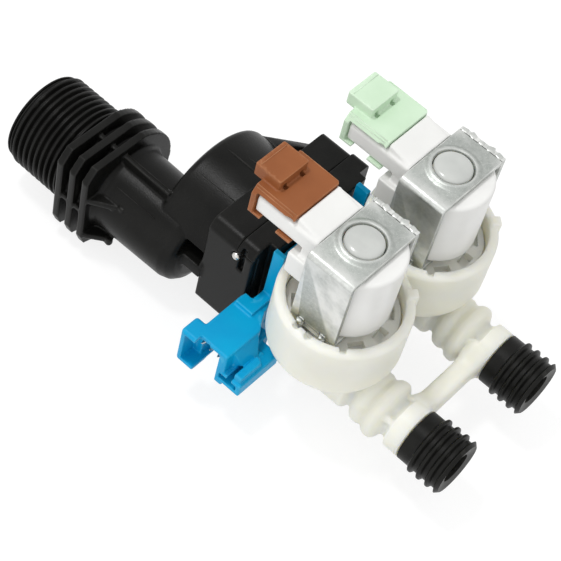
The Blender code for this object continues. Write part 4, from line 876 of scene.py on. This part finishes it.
for end, y in VALVES:
    centre, near, far = (VALVE_X, y), y - half, y + half
    outer_bend = rounded(
        [
            (YOKE_Z + YOKE_T + 0.2, near, 0), (yoke_top, near, 1.5), (yoke_top, far - YOKE_T - 0.2, 0),
            (yoke_top - YOKE_T, far - YOKE_T - 0.2, 0), (yoke_top - YOKE_T, near + YOKE_T, 0.4),
            (YOKE_Z + YOKE_T + 0.2, near + YOKE_T, 0),
        ],
        8,
    )
    upper = prism([(v, u) for u, v in outer_bend], "X", *yoke_x, soft=0.14)
    carved(
        upper, *[box((x - 1.0, x + 1.0), (near - 1, near + YOKE_T + 1), (YOKE_Z, YOKE_Z + 2.3)) for x, _ in FEET]
    )
    rim = [
        (-0.5, 2.25), (-0.03, 2.25), (0.05, 1.95), (0.22, 1.6), (0.46, 1.25), (0.64, 0.9), (0.7, 0.6), (0.64, 0.33),
        (0.4, 0.12), (0, 0.05),
    ]
    collar = turned([(yoke_top - 0.5, 0), *shifted(rim, yoke_top, GUIDE_R), (yoke_top, 0)], "Z", centre)
    common(collar, box((yoke_x[0] + 0.2, yoke_x[1] - 0.2), (y - 20, y + 20), (0, 60)))
    fused(
        upper, collar,
        *[stake(VALVE_X + x, far - 0.35, yoke_top - 0.45, wide, reach, turn) for x, wide, reach, turn in TEETH],
    )
    carved(upper, rod("Z", yoke_top - YOKE_T - 1, yoke_top + 1, centre, GUIDE_R + 0.05, 96))
    done(upper, f"yoke_upper_{end}_plate", zinc, f"yoke_upper_{end}", angle=32)
    inner_bend = rounded(
        [
            (YOKE_Z, near, 0), (YOKE_Z + YOKE_T, near, 0), (YOKE_Z + YOKE_T, far - YOKE_T, 0.4),
            (yoke_top, far - YOKE_T, 0), (yoke_top, far, 0), (YOKE_Z, far, 1.5),
        ],
        8,
    )
    lower = prism([(v, u) for u, v in inner_bend], "X", *yoke_x, soft=0.14)
    feet = []
    for x, tip in FEET:
        feet.append(box((x - 0.8, x + 0.8), (near - 0.1, near + 1.1), (YOKE_Z + 0.1, YOKE_Z + 2.1), 0.2))
        feet.append(stake(x - 0.35, near - 0.1, YOKE_Z + 1.35, tip, 0.3, 30))
        feet.append(stake(x + 0.45, near - 0.05, YOKE_Z + 0.85, 0.6, 0.3, -25))
    fused(lower, *feet)
    gaps = [(VALVE_X + tooth[0] - 0.7, VALVE_X + tooth[0] + 0.7) for tooth in TEETH]
    carved(
        lower,
        rod("Z", YOKE_Z - 1, YOKE_Z + YOKE_T + 1, centre, GUIDE_R + 0.2, 96),
        *[box(gap, (far - YOKE_T - 1, far + 1), (yoke_top - YOKE_T - 0.1, yoke_top + 1)) for gap in gaps],
    )
    done(lower, f"yoke_lower_{end}_plate", zinc, f"yoke_lower_{end}", angle=32)

# Coils. Copper windings overmoulded in white plastic, with a square neck towards the terminals. The
# overmoulding is soft-edged and a little uneven where the neck meets the coil.
COIL_LOW, COIL_TOP, COIL_R = 24.8, 45.4, 10.75
CAP_START, NECK_W, NECK_H = 52.3, 16.2, 5.2
neck_top = yoke_top - 0.4
neck_low = neck_top - NECK_H
neck_x = CAP_START + 1.5
white = moulded(
    "white_overmould", (0.86, 0.86, 0.84), (0.81, 0.81, 0.79), 0.33, spread=0.12, cloud_size=12, grain_size=0.6,
    relief=0.015, Specular_IOR_Level=0.5,
)
for end, y in VALVES:
    centre = (VALVE_X, y)
    side = half - YOKE_T - 0.2
    coil = turned(
        [
            (COIL_LOW, 0), *shifted([(0, -0.75), (0.3, -0.25), (0.9, 0)], COIL_LOW, COIL_R),
            *shifted([(-0.7, -0.1), (-0.2, -0.35), (0, -0.85)], COIL_TOP, COIL_R), (COIL_TOP, 0),
        ],
        "Z", centre, 128,
    )
    common(coil, box((VALVE_X - 20, VALVE_X + 20), (y - side, y + side), (0, 60)))
    v0, v1 = y - NECK_W / 2, y + NECK_W / 2
    neck = rounded([(v0, neck_low, 0.8), (v1, neck_low, 0.8), (v1, neck_top, 0.8), (v0, neck_top, 0.8)], 4)
    # The neck thickens into a shoulder in front of the yoke
    shoulder = []
    for x, top in ((CAP_START + 12.3, neck_top + 2.0), (yoke_x[0] - 0.3, neck_top + 0.3)):
        for left, right, z in ((-7.6, 7.0, neck_low + 1), (-7.3, 6.8, top - 0.4), (-6.9, 6.4, top)):
            shoulder += [(x, y + left, z), (x, y + right, z)]
    fused(
        coil,
        box((VALVE_X - 12.5, VALVE_X), (y - 9.6, y + 9.6), (32.4, 39.1)),
        box((VALVE_X - 10.4, VALVE_X - 4), (y - 7.9, y + 7.9), (38.5, 45.2)),
        prism(neck, "X", neck_x, yoke_x[0] - 0.2),
        hull(shoulder),
    )
    carved(
        coil,
        rod("Z", COIL_LOW - 1, COIL_TOP + 1, centre, GUIDE_R + 0.5, 96),
        *[box((neck_x - 1, neck_x + 9.0), (v, v + 6.6), (neck_top - 2.9, neck_top - 1.7)) for v in (y - 6.9, y + 0.3)],
        box((neck_x - 1, neck_x + 4.0), (y - 6.9, y + 6.9), (neck_top - 3.6, neck_top - 1.0)),
    )
    softened(coil, 0.3, 3, 0.6)
    done(coil, f"coil_{end}_overmould", white, f"coil_{end}")

# Terminals and sensor pins. Tin-plated brass: flat blades with a tapered tip in each neck, and three
# square pins in the sensor socket.
tinned = metal("tinned_brass", (0.74, 0.72, 0.66), (0.66, 0.63, 0.56), 0.28, cloud_size=1.5)
blade_edge = [(0.2, -2.4), (1.2, -3.1), (8.7, -3.1), (8.7, 3.1), (1.2, 3.1), (0.2, 2.4)]
for end, y in VALVES:
    for side_name, offset in (("left", -3.6), ("right", 3.6)):
        blade = prism(shifted(blade_edge, neck_x, y + offset), "Z", neck_top - 2.7, neck_top - 1.9, 0.12)
        name = f"terminal_{end}_{side_name}"
        done(blade, name + "_blade", tinned, name, angle=40)

# Terminal caps. Snap-on plastic covers, brown on the front valve and mint green on the rear one, each
# with a square latch on top and an open window on either side.
CAP_W, CAP_LEN, CAP_TOP = 17.6, 12.1, 49.0
cap_low = neck_low - 0.8
# Both caps: edges painted lighter, for wear and for painted highlights
brown = moulded(
    "brown_plastic", (0.297, 0.100, 0.034), (0.262, 0.085, 0.028), 0.42, spread=0.14, cloud_size=9, grain_size=0.4,
    relief=0.02, edge_wear_and_highlight_colour=(0.5, 0.24, 0.12), edge_wear_and_highlight_amount=0.7, IOR=1.28,
)
green = moulded(
    "green_plastic", (0.63, 0.80, 0.61), (0.58, 0.75, 0.56), 0.4, spread=0.14, cloud_size=9, grain_size=0.4,
    relief=0.02, edge_wear_and_highlight_colour=(0.78, 0.9, 0.76), edge_wear_and_highlight_amount=0.6, IOR=1.28,
)
for name, y, paint, slot_name in (
    ("cap_brown", VALVE_Y, brown, "brown_plastic"), ("cap_green", REAR_Y, green, "green_plastic")
):
    wide = CAP_W / 2
    near, far = y - wide, y + wide - 0.9
    cap = prism(
        [
            (near, cap_low), (far, cap_low), (far, CAP_TOP - 1.1), (far - 1.0, CAP_TOP), (near + 1.5, CAP_TOP),
            (near, CAP_TOP - 2.0),
        ],
        "X", CAP_START, CAP_START + CAP_LEN,
    )
    (x0, x1), (v0, v1) = (CAP_START - 2.8, CAP_START + 4.7), (y - 5.4, y + 4.2)
    latch = rounded([(x0, v0, 0.4), (x1, v0, 0.4), (x1, v1, 0.4), (x0, v1, 0.4)], 3)
    fused(
        cap,
        box((CAP_START + 8.0, CAP_START + 12.5), (near, far), (cap_low, neck_low - 0.2)),
        prism(latch, "Z", CAP_TOP - 0.8, CAP_TOP + 2.9),
    )
    beak_cut = [
        (9.3, -wide - 1), (9.3, -wide - 0.01), (9.8, -wide + 0.45), (10.5, -wide + 0.8), (11.3, -wide + 0.85),
        (12.0, -wide + 0.45), (12.4, -wide + 0.2), (12.4, -wide - 1),
    ]
    far_cut = [(11.0, wide + 1), (11.2, wide - 1.0), (11.7, wide - 1.8), (12.4, wide - 2.4), (12.4, wide + 1)]
    carved(
        cap,
        box((CAP_START + 1.3, CAP_START + 15), (y - wide - 1, y + wide + 1), (neck_low - 0.1, neck_top + 1.05)),
        box((CAP_START - 1, CAP_START + 2), (y - 7.0, y + 7.0), (neck_low + 0.7, neck_top - 0.7)),
        box((CAP_START + 3.6, CAP_START + 8.4), (y - wide - 1, y - wide + 3.0), (cap_low - 1, neck_low)),
        box((CAP_START - 1.7, CAP_START + 3.7), (y - 4.2, y + 3.0), (CAP_TOP - 2.0, CAP_TOP + 1.9)),
        *[prism(shifted(cut, CAP_START, y), "Z", neck_low + 0.5, CAP_TOP + 1) for cut in (beak_cut, far_cut)],
        *[
            box((CAP_START + 4.0, CAP_START + 5.5), (v - 0.6, v + 0.6), (CAP_TOP - 1.0, CAP_TOP + 1.2))
            for v in (y - 3.4, y + 2.2)
        ],
    )
    softened(cap, 0.2, 1, 1.0)
    # Raised lines that the mould leaves along the latch and beside the roof
    lines = [box((CAP_START - 1.7, CAP_START - 1.5), (y - 5.0, y + 3.8), (CAP_TOP + 2.5, CAP_TOP + 3.0))]
    section = ((-0.12, -0.35), (0.12, -0.35), (-0.06, 0.08), (0.06, 0.08))
    for way, top_side in ((-1, wide - 1.5), (1, wide - 1.9)):
        for reach, v, z in ((11.6, top_side, 0.0), (11.2, top_side + 0.42, -0.5)):
            lines.append(raised_line(CAP_START + 0.4, CAP_START + reach, y + way * v, CAP_TOP + z, section))
    beside(cap, *lines)
    done(cap, name + "_moulding", paint, name)

# Inner pieces. The screen, flow regulator, turbine, seals, diaphragms, plungers and springs keep their
# solids, each with its own finish.
red_rubber = moulded(
    "red_rubber", (0.30, 0.085, 0.05), (0.26, 0.07, 0.04), 0.5, spread=0.15, cloud_size=4, grain_size=0.3, relief=0.03
)
ferrite = moulded(
    "ferrite", (0.06, 0.06, 0.065), (0.085, 0.085, 0.09), 0.5, cloud_size=1.5, grain_size=0.2, relief=0.03
)
board = moulded("sensor_board", (0.012, 0.013, 0.014), (0.02, 0.02, 0.02), 0.35, cloud_size=2, grain_size=0.3)
finishes = {
    "inlet_screen": natural, "regulator_holder": natural, "regulator_washer": red_rubber, "guide_vanes": natural,
    "turbine_rotor": natural, "rotor_magnet": ferrite, "turbine_axle": bright_steel, "cover_seal": rubber,
    "port_seal": rubber, "hall_sensor": board,
    "sensor_pin_1": tinned, "sensor_pin_2": tinned, "sensor_pin_3": tinned,
}
valve_finishes = {
    "diaphragm": rubber, "diaphragm_insert": natural, "plunger": bright_steel, "plunger_pad": rubber,
    "plunger_spring": bright_steel,
}
finishes.update({f"{name}_{end}": finish for end, _ in VALVES for name, finish in valve_finishes.items()})
for name, finish in finishes.items():
    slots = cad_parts[name].data.materials
    if not slots:
        slots.append(finish)
    for k in range(len(slots)):
        slots[k] = finish

# Floor and studio. A plain white table in a white room, with a small key lamp high above the part and a
# broad weak lamp at the front left that fills the shadows, as in a catalogue photograph.


def seen_itself(tree):
    """One for what the camera sees directly or in the part, and zero for the light that falls on the part."""
    rays = tree.nodes.new("ShaderNodeLightPath").outputs
    seen = calc(tree, "MAXIMUM", rays["Is Camera Ray"], rays["Is Glossy Ray"])
    return calc(tree, "MAXIMUM", seen, rays["Is Transmission Ray"])


low = min(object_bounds()[0].z, cad_box[0].z)
bm = bmesh.new()
bmesh.ops.create_grid(bm, x_segments=1, y_segments=1, size=1.5)
bmesh.ops.translate(bm, vec=(0.05, 0.01, low - 0.0002), verts=bm.verts)
floor = shape_of(bm, "floor")
table = bpy.data.materials.new("white_table")
table.use_nodes = True
tree = table.node_tree
shader = tree.nodes["Principled BSDF"]
shader.inputs["Roughness"].default_value = 0.9
shader.inputs["Specular IOR Level"].default_value = 0.1
seen = seen_itself(tree)
tree.links.new(blend_of(tree, seen, (0.8, 0.8, 0.8, 1), (0.26, 0.26, 0.26, 1)), shader.inputs["Base Color"])
shader.inputs["Emission Color"].default_value = (1, 1, 1, 1)
tree.links.new(calc(tree, "MULTIPLY", seen, 0.8), shader.inputs["Emission Strength"])
floor.data.materials.append(table)

world = bpy.data.worlds.new("white_room")
scene.world = world
world.use_nodes = True
tree = world.node_tree
background = tree.nodes["Background"]
background.inputs["Color"].default_value = (1, 1, 1, 1)
tree.links.new(calc(tree, "MAXIMUM", seen_itself(tree), 0.8), background.inputs["Strength"])

# Directions of the picture: to its right, up in it, and back towards the camera
right = Vector((0.732806, 0.660946, 0.161696))
up = -Vector((0.617220, -0.545653, -0.566835))
back = -Vector((-0.286417, 0.515182, -0.807807))
target = Vector((0.05, 0.01, 0.01))


def lamp(name, offset, size, watts):
    light = bpy.data.lights.new(name, "AREA")
    light.shape = "SQUARE"
    light.size = size
    light.energy = watts
    obj = bpy.data.objects.new(name, light)
    scene.collection.objects.link(obj)
    spot = target + right * offset[0] + up * offset[1] + back * offset[2]
    obj.location = spot
    obj.rotation_euler = (spot - target).to_track_quat("Z", "Y").to_euler()


lamp("key_lamp", (-0.116, 0.518, 0.602), 0.1, 1.9)
lamp("front_fill", (-0.55, -0.35, 0.75), 1.0, 2.0)

camera_data = bpy.data.cameras.new("camera")
camera_data.lens = 118.1585
camera_data.sensor_width = 36
camera_data.clip_start = 0.01
camera = bpy.data.objects.new("camera", camera_data)
scene.collection.objects.link(camera)
camera.location = (0.18475988, -0.22372173, 0.36355468)
camera.rotation_mode = "QUATERNION"
camera.rotation_quaternion = Quaternion((0.87838868, 0.30795517, 0.03549695, 0.36378139))
scene.camera = camera
scene.view_settings.view_transform = "Standard"
